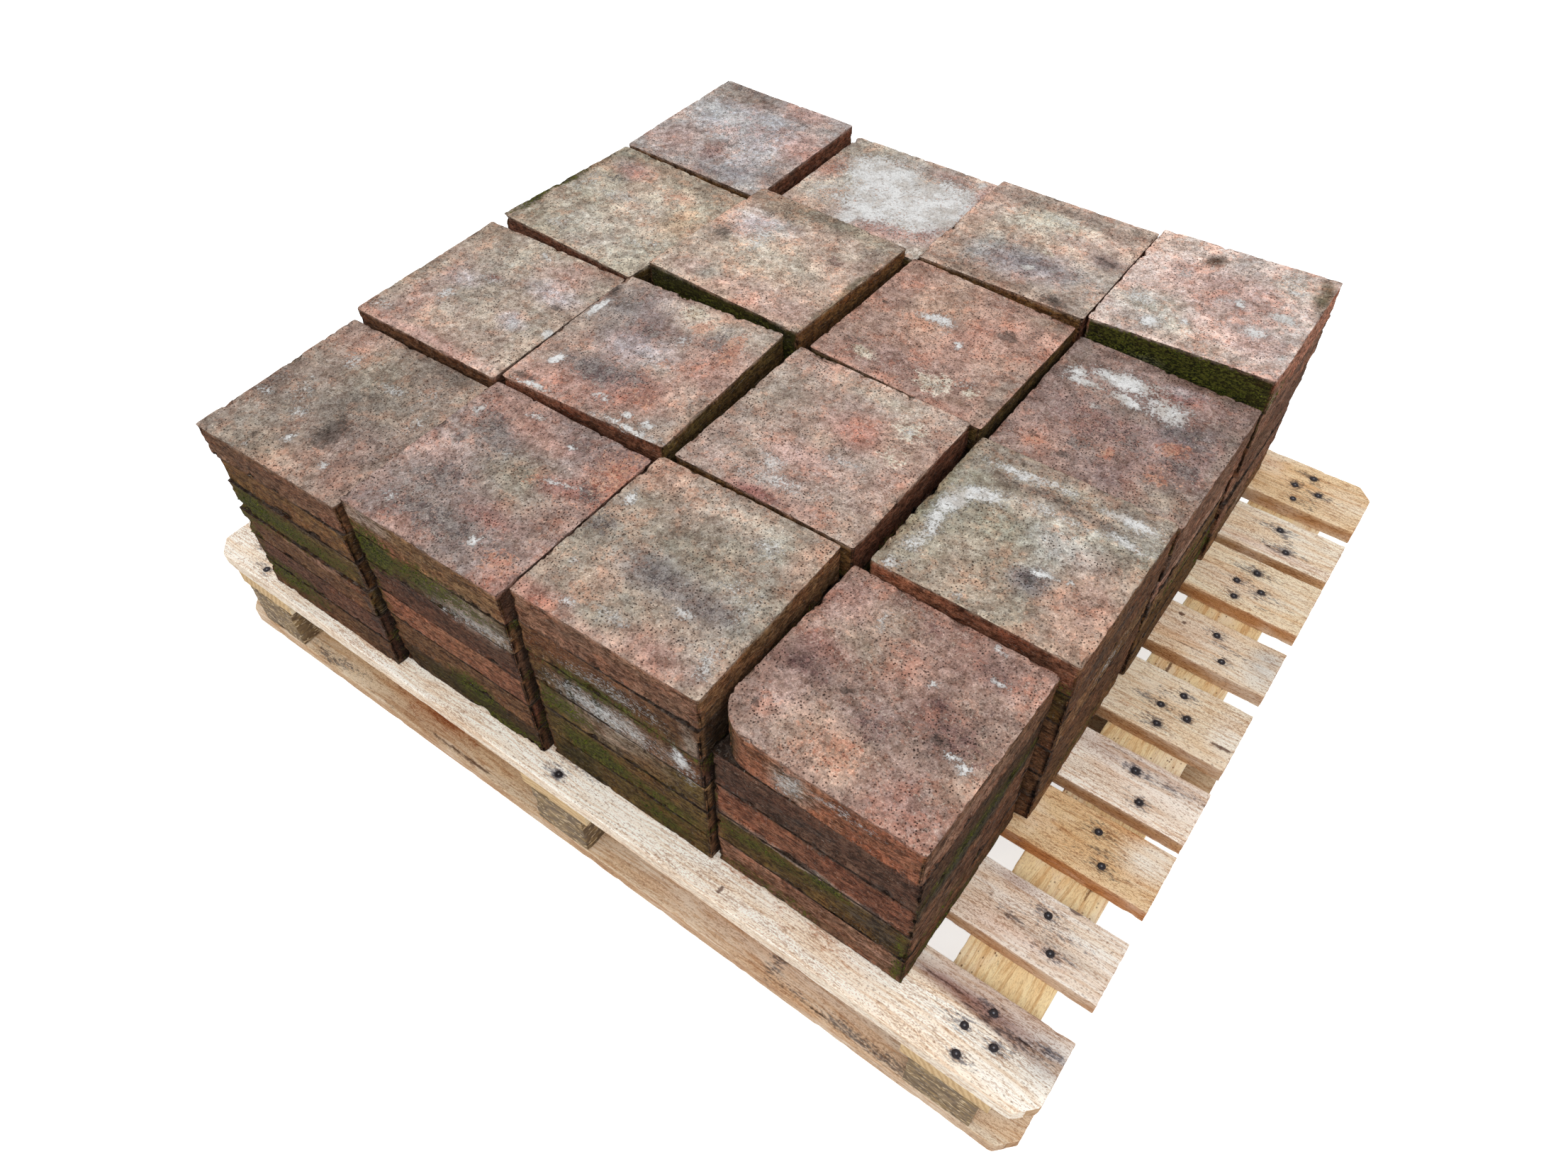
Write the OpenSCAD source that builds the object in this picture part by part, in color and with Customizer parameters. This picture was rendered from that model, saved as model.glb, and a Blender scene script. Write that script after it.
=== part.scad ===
// Pallet of quarry tiles: four rows of four stacks of square fired tiles,
// standing on a wooden pallet with nine deck boards, three stringer boards,
// nine pressed-wood blocks and three bottom boards.
//
// The origin is on the floor, under the middle of the pallet. X runs along
// the deck boards, Y runs across them from front to back, and Z is up.

/* [Deck] */
// Length of the pallet, along its deck boards
pallet_l = 1200; // [1150:10:1400]
// Depth of the pallet, across its deck boards
pallet_w = 1000; // [1000:10:1200]
// Thickness of the deck boards
deck_t = 22; // [16:1:30]
// Width of the wide deck boards
wide_board_w = 92; // [85:1:100]
// Width of the narrow deck boards
narrow_board_w = 77; // [70:1:85]
// Size of the clipped corners on the outermost boards
corner_clip = 20; // [10:1:30]

/* [Base] */
// Width of the stringer boards under the deck
stringer_w = 100; // [85:1:120]
// Thickness of the stringer boards
stringer_t = 22; // [16:1:30]
// Distance from the pallet's end to the outer stringer boards
stringer_inset = 38; // [22:1:60]
// Width of the blocks, along the deck boards
block_w = 80; // [60:1:100]
// Depth of the blocks, across the deck boards
block_d = 130; // [90:1:150]
// Height of the blocks
block_h = 72; // [60:1:100]
// Width of the bottom boards
bottom_w = 130; // [100:1:150]
// Thickness of the bottom boards
bottom_t = 22; // [16:1:30]

/* [Nails] */
// Diameter of the nail heads
nail_head_d = 9; // [6:0.5:12]
// Thickness of the nail heads
nail_head_h = 1; // [0.5:0.1:2]
// How deep the nail heads are driven below the face of the deck
nail_sink = 0.5; // [0.2:0.1:2]
// Space around a nail head in its dent in the wood
nail_gap = 0.3; // [0.1:0.1:1]

/* [Tiles] */
// Side of a full tile
tile_side = 227; // [190:1:232]
// Thickness of an ordinary tile
tile_t = 46; // [35:0.5:55]
// Radius of a tile's worn corners
tile_corner_r = 9; // [4:0.5:20]
// Radius of the broken corner of one top tile
broken_corner_r = 45; // [25:1:80]
// How much smaller than a full tile the tiles inside a stack can be
side_spread = 7; // [1:0.5:12]
// Space between one stack and the next
stack_gap = 3; // [3:0.5:12]
// Hairline between one tile and the next in a stack
seat_gap = 0.3; // [0.2:0.05:0.6]

/* [Hidden] */
row_names = ["a", "b", "c", "d"];
column_names = ["1", "2", "3", "4"];
side_names = ["left", "middle", "right"];
depth_names = ["front", "middle", "back"];
rows = len(row_names);
columns = len(column_names);

// Deck boards from front to back: true is a wide board. The gaps between
// them were never even, and these are their shares of the free depth.
deck_is_wide = [true, false, false, false, true, false, true, false, true];
deck_gap_shares = [44, 41, 17, 36, 33, 36, 15, 31];
deck_count = len(deck_is_wide);

// Nails in a board over a stringer: distance outwards from the stringer's
// centre line, and share of the board's width from its front edge.
narrow_board_nails = [[27, 0.27], [7, 0.72]];
wide_board_nails = [[0, 0.18], [-7, 0.48], [26, 0.46], [10, 0.77]];
nail_facets = 24;

// Each stack by row, from the front, and by column, from the left:
// how many tiles it has, how much thicker its tiles are than ordinary ones,
// where it stands from its place in an even grid, and how its top tile is
// turned and tilted in degrees (rising to the right, rising to the back).
tile_counts = [[6, 6, 6, 5], [6, 6, 6, 6], [6, 6, 6, 6], [6, 6, 6, 6]];
extra_t = [[-2, 0, 1, 6], [1, 2, 1, -1], [1.5, 3.5, 0, -3], [2, -1, 0.5, 1.5]];
stack_dx = [[-27, -27, -27, -23], [-25, -23, -17, -7], [-16, -11, -7, -6], [-6, -3, -3, -3]];
stack_dy = [[-27, -17, -5, 0], [-28, -16, -3, 0], [-23, -11, -4, 6], [-20, -7, -3, 6]];
top_turn = [[1, 0, 0.7, -0.6], [0.6, 2.2, -0.4, 0.2], [-3.2, -1.4, -0.6, 0], [-0.8, 1.4, 0.6, 0.3]];
rise_right = [[0.9, 1.2, 1.2, 1], [0.6, 2.2, 0.9, 0.6], [0.6, -0.2, -1.2, -0.3], [0, 0, 0.5, 2.9]];
rise_back = [[0.5, 0.3, -0.9, -1.5], [0.4, 0.2, -0.2, -1.9], [-0.5, -1.8, -0.8, -0.4], [1, -1.2, -1, 0.3]];
// The top tile with the broken front left corner
broken_row = 0;
broken_column = 3;

// Steps in each rounded tile corner
corner_steps = 5;
// The fixed draws that set how the tiles inside the stacks lie
load_seed = 11;
draws_per_tile = 4;
most_tiles = max([for (line = tile_counts) max(line)]);
draws = rands(0, 1, rows * columns * most_tiles * draws_per_tile, load_seed);

bottom_z = 0;
block_z = bottom_z + bottom_t;
stringer_z = block_z + block_h;
deck_z = stringer_z + stringer_t;
load_z = deck_z + deck_t;

function board_width(i) = deck_is_wide[i] ? wide_board_w : narrow_board_w;
function total(list, upto) = upto <= 0 ? 0 : list[upto - 1] + total(list, upto - 1);
board_widths = [for (i = [0 : deck_count - 1]) board_width(i)];
free_depth = pallet_w - total(board_widths, deck_count);
gap_unit = free_depth / total(deck_gap_shares, deck_count - 1);
// The front edge of deck board i
function board_front(i) =
    -pallet_w / 2 + total(board_widths, i) + gap_unit * total(deck_gap_shares, i);

// The centre line of stringer s, and of block row or bottom board d
function stringer_x(s) = (s - 1) * (pallet_l / 2 - stringer_inset - stringer_w / 2);
function row_y(d, width) = (d - 1) * (pallet_w - width) / 2;

// Where the nails of deck board i are driven, over each stringer in turn
dent_depth = nail_sink + nail_head_h;
dent_d = nail_head_d + 2 * nail_gap;
function nail_places(i) = [
    for (s = [0 : 2], nail = deck_is_wide[i] ? wide_board_nails : narrow_board_nails)
        let (outwards = s == 0 ? -1 : 1)
        [stringer_x(s) + outwards * nail[0], board_front(i) + nail[1] * board_width(i)]
];

// A stack's place, and its tile's thickness
stack_pitch = tile_side + stack_gap;
function stack_x(r, c) = (c - (columns - 1) / 2) * stack_pitch + stack_dx[r][c];
function stack_y(r, c) = (r - (rows - 1) / 2) * stack_pitch + stack_dy[r][c];
function stack_tile_t(r, c) = tile_t + extra_t[r][c];

// The tilt grows evenly from the flat bottom tile to the top one, so each
// gap is opened at its middle by what the tilt takes up at the edge.
function tilt_steps(r, c) = tile_counts[r][c] - 1;
function seat(r, c) = seat_gap
    + tile_side / 2 * abs(tan(rise_right[r][c] / tilt_steps(r, c)))
    + tile_side / 2 * abs(tan(rise_back[r][c] / tilt_steps(r, c)));
function tile_z(r, c, k) = load_z + k * (stack_tile_t(r, c) + seat(r, c));

function draw(r, c, k, what) = draws[((r * columns + c) * most_tiles + k) * draws_per_tile + what];
function is_top(r, c, k) = k == tile_counts[r][c] - 1;
// A tile inside a stack is smaller than a full one, and lies anywhere in
// the room that this leaves: half of the play goes to its place, half to its turn.
function play(r, c, k) = is_top(r, c, k) ? 0 : draw(r, c, k, 0) * side_spread / 2;
function side_of(r, c, k) = tile_side - 2 * play(r, c, k);
function shift_of(r, c, k, what) = play(r, c, k) * (draw(r, c, k, what) - 0.5);
function turn_of(r, c, k) = is_top(r, c, k)
    ? top_turn[r][c]
    : atan(play(r, c, k) / tile_side) * (2 * draw(r, c, k, 3) - 1);

// Outlines
function corner_points(corner, clip) = clip == 0
    ? [corner[0]]
    : [corner[0] + clip * corner[1], corner[0] + clip * corner[2]];
function arc_points(centre, radius, start) = [
    for (i = [0 : corner_steps])
        let (a = start + 90 * i / corner_steps)
        centre + radius * [cos(a), sin(a)]
];
// Corners in order: front left, front right, back right, back left
function tile_outline(side, radii) = [
    for (i = [0 : 3])
        let (
            toward = [[-1, -1], [1, -1], [1, 1], [-1, 1]][i],
            centre = (side / 2 - radii[i]) * toward
        )
        each arc_points(centre, radii[i], 180 + 90 * i)
];

// A sawn board along X. Its front or back corners can be clipped.
module board(length, width, thickness, front_clip, back_clip) {
    half = [length / 2, width / 2];
    outline = concat(
        corner_points([[-half.x, -half.y], [0, 1], [1, 0]], front_clip),
        corner_points([[half.x, -half.y], [-1, 0], [0, 1]], front_clip),
        corner_points([[half.x, half.y], [0, -1], [-1, 0]], back_clip),
        corner_points([[-half.x, half.y], [1, 0], [0, -1]], back_clip)
    );
    linear_extrude(thickness) polygon(outline);
}

module deck_board(i) {
    width = board_width(i);
    color("burlywood")
        difference() {
            translate([0, board_front(i) + width / 2, deck_z])
                board(pallet_l, width, deck_t,
                    i == 0 ? corner_clip : 0, i == deck_count - 1 ? corner_clip : 0);
            for (place = nail_places(i)) nail_dent(place);
        }
}

// The dent that a driven nail leaves in the deck, cut a little past its face
module nail_dent(place) {
    translate([place.x, place.y, load_z - dent_depth])
        cylinder(h = 2 * dent_depth, d = dent_d, $fn = nail_facets);
}

module stringer(s) {
    color("khaki")
        translate([stringer_x(s) - stringer_w / 2, -pallet_w / 2, stringer_z])
            cube([stringer_w, pallet_w, stringer_t]);
}

module block(d, s) {
    color("peru")
        translate([stringer_x(s) - block_w / 2, row_y(d, block_d) - block_d / 2, block_z])
            cube([block_w, block_d, block_h]);
}

module bottom_board(d) {
    color("tan")
        translate([0, row_y(d, bottom_w), bottom_z])
            board(pallet_l, bottom_w, bottom_t,
                d == 0 ? corner_clip : 0, d == 2 ? corner_clip : 0);
}

// Every nail head, on the bottom of its dent
module nail_heads() {
    color("dimgray")
        for (i = [0 : deck_count - 1], place = nail_places(i))
            translate([place.x, place.y, load_z - dent_depth])
                cylinder(h = nail_head_h, d = nail_head_d, $fn = nail_facets);
}

// One fired tile, with its underside on the plane z = 0
module tile(side, thickness, front_left_r) {
    radii = [front_left_r, tile_corner_r, tile_corner_r, tile_corner_r];
    linear_extrude(thickness) polygon(tile_outline(side, radii));
}

module tile_stack(r, c) {
    color("rosybrown")
        for (k = [0 : tile_counts[r][c] - 1]) {
            share = k / tilt_steps(r, c);
            broken = is_top(r, c, k) && r == broken_row && c == broken_column;
            translate([
                stack_x(r, c) + shift_of(r, c, k, 1),
                stack_y(r, c) + shift_of(r, c, k, 2),
                tile_z(r, c, k)
            ])
                rotate([share * rise_back[r][c], -share * rise_right[r][c], turn_of(r, c, k)])
                    tile(side_of(r, c, k), stack_tile_t(r, c),
                        broken ? broken_corner_r : tile_corner_r);
        }
}

for (i = [0 : deck_count - 1])
    deck_board(i);
for (s = [0 : 2])
    stringer(s);
for (d = [0 : 2], s = [0 : 2])
    block(d, s);
for (d = [0 : 2])
    bottom_board(d);
nail_heads();
for (r = [0 : rows - 1], c = [0 : columns - 1])
    tile_stack(r, c);
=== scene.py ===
# %% [markdown]
# # A pallet of old quarry tiles
#
# Sixteen stacks of thick, worn quarry tiles stand in a square of four by four on a
# wooden pallet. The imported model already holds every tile, board, block and nail head
# as a plain solid at its true place. This notebook keeps those places and makes each
# piece look like what it is: fired clay with chipped edges, lime and moss, and rough
# sawn wood with nails driven into it.
#
# Everything that follows is in metres.

# %% Load the frame
import math

import bpy
import numpy as np
from mathutils import Matrix, Vector


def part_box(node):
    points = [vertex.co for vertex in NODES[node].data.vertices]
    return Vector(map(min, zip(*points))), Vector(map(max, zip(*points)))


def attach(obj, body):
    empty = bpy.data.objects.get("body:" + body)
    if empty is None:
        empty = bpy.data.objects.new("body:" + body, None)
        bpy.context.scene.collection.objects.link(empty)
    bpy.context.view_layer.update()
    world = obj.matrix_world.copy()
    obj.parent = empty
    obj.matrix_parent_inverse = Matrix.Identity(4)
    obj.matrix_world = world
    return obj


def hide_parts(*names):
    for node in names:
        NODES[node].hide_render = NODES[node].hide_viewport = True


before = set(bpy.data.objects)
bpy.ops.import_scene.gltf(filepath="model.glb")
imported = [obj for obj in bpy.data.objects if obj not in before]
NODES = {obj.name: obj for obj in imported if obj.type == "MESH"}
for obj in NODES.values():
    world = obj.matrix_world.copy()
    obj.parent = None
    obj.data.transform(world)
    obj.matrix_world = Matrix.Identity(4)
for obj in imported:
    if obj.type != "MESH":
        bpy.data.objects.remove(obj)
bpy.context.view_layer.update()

MM = 0.001

# %% [markdown]
# ## Small helpers for node trees
#
# Blender's shader trees and geometry trees are built in the same way: add a node, set
# its options, then give each input a value or a link. One helper does all three, so
# the recipes further down read as a list of steps. Colours are written as the usual
# 0 to 255 numbers and turned into the linear values that Blender works in. A dye
# multiplies the colour under it, so a number above 255, or above 1, makes it paler.

# %% Helpers for nodes
def colour(red, green, blue):
    """A linear colour with alpha, from 0 to 255 screen values."""
    screen = np.array([red, green, blue]) / 255
    linear = np.where(screen <= 0.04045, screen / 12.92, ((screen + 0.055) / 1.055) ** 2.4)
    return (*[float(part) for part in linear], 1.0)


def feed(tree, socket, value):
    """Fills an input with a value, or links it to another node."""
    if isinstance(value, bpy.types.NodeSocket):
        tree.links.new(value, socket)
    else:
        socket.default_value = value


def add_node(tree, kind, inputs=None, **settings):
    """Adds a node, sets its options, and fills or links its inputs."""
    node = tree.nodes.new(kind)
    for name, value in settings.items():
        setattr(node, name, value)
    for key, value in (inputs or {}).items():
        feed(tree, node.inputs[key], value)
    return node


def maths(tree, operation, a, b, clamp=False):
    """One arithmetic step on numbers."""
    node = add_node(tree, "ShaderNodeMath", {0: a, 1: b}, operation=operation, use_clamp=clamp)
    return node.outputs[0]


def times(tree, product, *factors):
    """The product of some numbers."""
    for factor in factors:
        product = maths(tree, "MULTIPLY", product, factor)
    return product


def plus(tree, total, *others):
    """The sum of some numbers."""
    for other in others:
        total = maths(tree, "ADD", total, other)
    return total


def weighted(tree, start, *parts):
    """A number plus some others, each with its weight."""
    return plus(tree, start, *[times(tree, part, weight) for part, weight in parts])


def minus(tree, a, b):
    """The difference of two numbers."""
    return maths(tree, "SUBTRACT", a, b)


def vectors(tree, operation, a, b):
    """One arithmetic step on vectors."""
    return add_node(tree, "ShaderNodeVectorMath", {0: a, 1: b}, operation=operation).outputs[0]


def stretched(tree, place, factors):
    """A place with each of its three numbers multiplied."""
    return vectors(tree, "MULTIPLY", place, factors)


def shifted(tree, place, way):
    """A place moved some way."""
    return vectors(tree, "ADD", place, way)


def scaled(tree, vector, amount):
    """A vector times a number."""
    node = add_node(tree, "ShaderNodeVectorMath", {0: vector, "Scale": amount}, operation="SCALE")
    return node.outputs[0]


def step(tree, value, low, high, at_low=0.0, at_high=1.0):
    """A soft step: at_low below low, at_high above high, smooth between them."""
    node = add_node(
        tree, "ShaderNodeMapRange",
        {"Value": value, "From Min": low, "From Max": high, "To Min": at_low, "To Max": at_high},
        interpolation_type="SMOOTHSTEP",
    )
    return node.outputs[0]


def noise(tree, place, scale, detail, roughness, distortion=0.0, out=0):
    """Cloudy noise. A scale of 50 gives blotches of about 20 mm."""
    node = add_node(
        tree, "ShaderNodeTexNoise",
        {
            "Vector": place,
            "Scale": scale,
            "Detail": detail,
            "Roughness": roughness,
            "Distortion": distortion,
        },
    )
    return node.outputs[out]


def cells(tree, place, scale, out="Distance"):
    """Scattered cells: the distance to the nearest centre, or its random colour."""
    node = add_node(tree, "ShaderNodeTexVoronoi", {"Vector": place, "Scale": scale})
    return node.outputs[out]


def blend(tree, factor, under, over, mode="MIX"):
    """Mixes two colours."""
    node = add_node(
        tree, "ShaderNodeMix", {0: factor, 6: under, 7: over}, data_type="RGBA", blend_type=mode
    )
    return node.outputs[2]


def dye(tree, under, dyestuff, amount=1.0):
    """Multiplies a colour by another one, wholly or by an amount."""
    return blend(tree, amount, under, dyestuff, "MULTIPLY")


def new_tree(name, kind, inputs, outputs):
    """A node group with named inputs, each (name, type, default), and named outputs."""
    tree = bpy.data.node_groups.new(name, kind)
    for label, socket_type, default in inputs:
        socket = tree.interface.new_socket(label, in_out="INPUT", socket_type=socket_type)
        if default is not None:
            socket.default_value = default
    for label, socket_type in outputs:
        tree.interface.new_socket(label, in_out="OUTPUT", socket_type=socket_type)
    given = tree.nodes.new("NodeGroupInput").outputs
    result = tree.nodes.new("NodeGroupOutput").inputs
    return tree, given, result


def split(tree, mixed):
    """The red, green and blue share of a colour."""
    return add_node(tree, "ShaderNodeSeparateColor", {"Color": mixed}).outputs


def painted(tree, label):
    """The outputs of a painted attribute, in a material."""
    return add_node(tree, "ShaderNodeAttribute", attribute_name=label).outputs


def object_place(tree):
    """Where a point lies on its own object, in a material."""
    return add_node(tree, "ShaderNodeTexCoord").outputs["Object"]


def use_group(tree, group, inputs):
    """Places a shader group in a material and returns its outputs."""
    return add_node(tree, "ShaderNodeGroup", inputs, node_tree=group).outputs


def new_material(name):
    """A material, its node tree and its main shader."""
    material = bpy.data.materials.new(name)
    material.use_nodes = True
    return material, material.node_tree, material.node_tree.nodes["Principled BSDF"]


def dress(tree, shader, base, roughness, height, strength, depth, shine=0.5):
    """Gives the main shader its colour, roughness, bump and shine."""
    inputs = {"Strength": strength, "Distance": depth, "Height": height}
    bump = add_node(tree, "ShaderNodeBump", inputs)
    feed(tree, shader.inputs["Base Color"], base)
    feed(tree, shader.inputs["Roughness"], roughness)
    feed(tree, shader.inputs["Normal"], bump.outputs["Normal"])
    feed(tree, shader.inputs["Specular IOR Level"], shine)


def named(tree, label, kind="FLOAT"):
    """An attribute of the points, in a geometry tree."""
    node = add_node(tree, "GeometryNodeInputNamedAttribute", {"Name": label}, data_type=kind)
    return node.outputs["Attribute"]


def pushed_in(tree, solid, depth):
    """Moves every point inwards, along its own normal, by its depth."""
    normal = add_node(tree, "GeometryNodeInputNormal").outputs[0]
    inwards = scaled(tree, normal, times(tree, depth, -1.0))
    inputs = {"Geometry": solid, "Offset": inwards}
    return add_node(tree, "GeometryNodeSetPosition", inputs).outputs[0]


def copies(tree, points, instance, **more):
    """Puts a copy of an object on every point."""
    info = add_node(tree, "GeometryNodeObjectInfo", {"Object": instance})
    inputs = {"Points": points, "Instance": info.outputs["Geometry"], **more}
    return add_node(tree, "GeometryNodeInstanceOnPoints", inputs).outputs[0]


def made_real(tree, instances):
    """Turns copies into a plain mesh."""
    return add_node(tree, "GeometryNodeRealizeInstances", {0: instances}).outputs[0]


def finish_tree(tree, solid, given, result, smooth=True):
    """Ends a geometry tree with the shading and the material."""
    if smooth:
        solid = add_node(tree, "GeometryNodeSetShadeSmooth", {"Geometry": solid}).outputs[0]
    inputs = {"Geometry": solid, "Material": given["Material"]}
    solid = add_node(tree, "GeometryNodeSetMaterial", inputs).outputs[0]
    tree.links.new(solid, result["Geometry"])
    return tree


FLOAT = "NodeSocketFloat"
VECTOR = "NodeSocketVector"
COLOUR = "NodeSocketColor"
GEOMETRY = "NodeSocketGeometry"
OBJECT = "NodeSocketObject"
MATERIAL = "NodeSocketMaterial"
print("node helpers are ready")

# %% [markdown]
# ## Camera, floor and light
#
# The load is seen from above its front right corner, from a little over a metre and a
# half away. The floor is one large pale sheet, which glows a little to the camera
# alone, so that it shows nearly white. The light is that of a bright cloudy
# day: an even white surrounding, plus one very large soft lamp from the front, high
# up. The surrounding shows white to the camera and to reflections, and is a little
# dimmer as a light, so that colours come out about as they are written.

# %% Camera
CAMERA_PLACE = Vector((0.5757, -0.8562, 1.2291))
CAMERA_TURN = 35.684
CAMERA_DIP = 50.143
CAMERA_ROLL = 0.386
camera_data = bpy.data.cameras.new("view")
camera_data.sensor_width = 36
camera_data.lens = 25.67
camera_data.clip_start = 0.01
camera_data.clip_end = 60
camera = bpy.data.objects.new("view", camera_data)
camera.matrix_world = (
    Matrix.Translation(CAMERA_PLACE)
    @ Matrix.Rotation(math.radians(CAMERA_TURN), 4, "Z")
    @ Matrix.Rotation(math.radians(90 - CAMERA_DIP), 4, "X")
    @ Matrix.Rotation(math.radians(CAMERA_ROLL), 4, "Z")
)
bpy.context.scene.collection.objects.link(camera)
bpy.context.scene.camera = camera
bpy.context.scene.view_settings.view_transform = "Standard"
print("the camera looks down at", CAMERA_DIP, "degrees")

# %% Floor
FLOOR_HALF = 8.0
FLOOR_GLOW = 0.6


def seen_rays(tree):
    """One for rays by which the camera sees a thing, directly, mirrored or through glass."""
    rays = add_node(tree, "ShaderNodeLightPath").outputs
    seen = maths(tree, "MAXIMUM", rays["Is Camera Ray"], rays["Is Glossy Ray"])
    return maths(tree, "MAXIMUM", seen, rays["Is Transmission Ray"])


floor_mesh = bpy.data.meshes.new("floor")
floor_mesh.from_pydata(
    [(x * FLOOR_HALF, y * FLOOR_HALF, 0) for x, y in ((-1, -1), (1, -1), (1, 1), (-1, 1))], [],
    [(0, 1, 2, 3)],
)
floor = bpy.data.objects.new("floor", floor_mesh)
bpy.context.scene.collection.objects.link(floor)
floor_finish, floor_tree, floor_shader = new_material("pale floor")
floor_shader.inputs["Base Color"].default_value = colour(250, 250, 250)
floor_shader.inputs["Roughness"].default_value = 0.9
floor_shader.inputs["Specular IOR Level"].default_value = 0.1
glow = maths(floor_tree, "MULTIPLY", seen_rays(floor_tree), FLOOR_GLOW)
floor_shader.inputs["Emission Color"].default_value = (1, 1, 1, 1)
floor_tree.links.new(glow, floor_shader.inputs["Emission Strength"])
floor_mesh.materials.append(floor_finish)
print("the floor is", 2 * FLOOR_HALF, "m wide")

# %% Light
SKY_LIGHT = 0.73
LAMP_POWER = 67
world = bpy.data.worlds.new("bright cloud")
world.use_nodes = True
bpy.context.scene.world = world
sky = world.node_tree
sky.nodes.clear()
sky_strength = step(sky, seen_rays(sky), 0.0, 1.0, SKY_LIGHT, 1.0)
background = add_node(
    sky, "ShaderNodeBackground", {"Color": (1, 1, 1, 1), "Strength": sky_strength}
)
add_node(sky, "ShaderNodeOutputWorld", {"Surface": background.outputs[0]})

lamp_data = bpy.data.lights.new("soft lamp", "AREA")
lamp_data.energy = LAMP_POWER
lamp_data.size = 2.6
lamp = bpy.data.objects.new("soft lamp", lamp_data)
lamp.location = (1.0, -2.0, 3.3)
lamp.rotation_euler = (Vector((0, 0, 0.3)) - lamp.location).to_track_quat("-Z", "Y").to_euler()
bpy.context.scene.collection.objects.link(lamp)
print("sky", SKY_LIGHT, "and lamp", LAMP_POWER, "W")

# %% [markdown]
# ## Finishes: what the groups share
#
# Real dirt, lime and moss have crisp, ragged edges, even where the amount changes
# slowly. So each piece carries a painted amount, and one shared group tears that
# amount into a ragged mask: it adds a coarse and a fine cloud of noise to the amount,
# and then cuts the sum at the middle. The clouds are made once in each material and
# shared by all its masks, turned over or swapped so that the masks differ.

# %% Torn mask
def torn_mask_group():
    """Turns a painted amount from 0 to 1 into a mask with torn edges."""
    tree, given, result = new_tree(
        "torn mask", "ShaderNodeTree",
        [
            ("Amount", FLOAT, 0.0),
            ("Coarse", FLOAT, 0.5),
            ("Fine", FLOAT, 0.5),
            ("Coarse share", FLOAT, 1.6),
            ("Fine share", FLOAT, 0.9),
            ("Edge", FLOAT, 0.1),
        ],
        [("Mask", FLOAT)],
    )
    parts = [(minus(tree, given[name], 0.5), given[name + " share"]) for name in ("Coarse", "Fine")]
    total = weighted(tree, given["Amount"], *parts)
    low = minus(tree, 0.5, given["Edge"])
    high = plus(tree, 0.5, given["Edge"])
    cut = step(tree, total, low, high)
    present = step(tree, given["Amount"], 0.01, 0.10)
    tree.links.new(times(tree, cut, present), result["Mask"])
    return tree


torn_mask = torn_mask_group()


def torn(tree, amount, coarse, fine, edge, coarse_share, fine_share):
    """A torn mask in a material."""
    return use_group(
        tree, torn_mask,
        {
            "Amount": amount,
            "Coarse": coarse,
            "Fine": fine,
            "Edge": edge,
            "Coarse share": coarse_share,
            "Fine share": fine_share,
        },
    )["Mask"]


def three_clouds(tree, place, scale, detail, roughness):
    """Three unlike clouds of noise of one size, and the same three turned over."""
    parts = split(tree, noise(tree, place, scale, detail, roughness, 0, 1))
    clouds = [parts[axis] for axis in range(3)]
    return clouds + [minus(tree, 1.0, cloud) for cloud in clouds]


print("made the group", torn_mask.name)

# %% [markdown]
# ## Fired clay
#
# An old quarry tile has a red clay body under a worn skin. The skin went brown, grey
# or khaki in a century of feet and washing, and it has worn through at the edges and
# in patches. In both there are fine dark pits and pale grains of sand. A group gives
# the small grain that all tiles share: mottling, pits of two sizes and grains.

# %% Fired clay grain
def clay_grain_group():
    """Mottling, pits and grains over a clay colour."""
    tree, given, result = new_tree(
        "fired clay grain", "ShaderNodeTree",
        [
            ("Place", VECTOR, None),
            ("Clay", COLOUR, None),
            ("Coarse", FLOAT, 0.5),
            ("Fine", FLOAT, 0.5),
            ("Sand", FLOAT, 0.5),
            ("Pits", FLOAT, 1.0),
        ],
        [("Colour", COLOUR), ("Height", FLOAT), ("Roughness", FLOAT)],
    )
    place = given["Place"]
    clay = given["Clay"]
    darker = dye(tree, clay, colour(172, 160, 152))
    paler = dye(tree, clay, (1.42, 1.42, 1.42, 1.0))
    clay = blend(tree, step(tree, given["Fine"], 0.48, 0.40, 0.0, 0.5), clay, darker)
    clay = blend(tree, step(tree, given["Fine"], 0.53, 0.62, 0.0, 0.45), clay, paler)
    clay = dye(tree, clay, colour(108, 92, 84), step(tree, given["Sand"], 0.455, 0.40, 0.0, 0.45))
    clay = dye(tree, clay, (1.72, 1.74, 1.76, 1.0), step(tree, given["Sand"], 0.55, 0.62, 0.0, 0.5))
    where = step(tree, given["Coarse"], 0.40, 0.60, 0.35, 1.0)
    small = step(tree, cells(tree, place, 300), 0.29, 0.20)
    large = step(tree, cells(tree, place, 105), 0.13, 0.09)
    pit = maths(tree, "MAXIMUM", small, large)
    pit = maths(tree, "MULTIPLY", times(tree, pit, where), given["Pits"], clamp=True)
    clay = dye(tree, clay, colour(80, 64, 58), times(tree, pit, 0.9))
    spots = step(tree, cells(tree, shifted(tree, place, (0.5, 0.1, 0.3)), 230), 0.19, 0.12)
    grain = times(tree, spots, step(tree, given["Coarse"], 0.58, 0.45))
    clay = dye(tree, clay, (1.9, 2.0, 2.0, 1.0), times(tree, grain, 0.8))
    height = weighted(tree, given["Fine"], (given["Sand"], 0.9), (pit, -1.1), (grain, 0.3))
    tree.links.new(clay, result["Colour"])
    tree.links.new(height, result["Height"])
    tree.links.new(step(tree, given["Sand"], 0.3, 0.7, 0.78, 0.95), result["Roughness"])
    return tree


clay_grain = clay_grain_group()
print("made the group", clay_grain.name)

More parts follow.
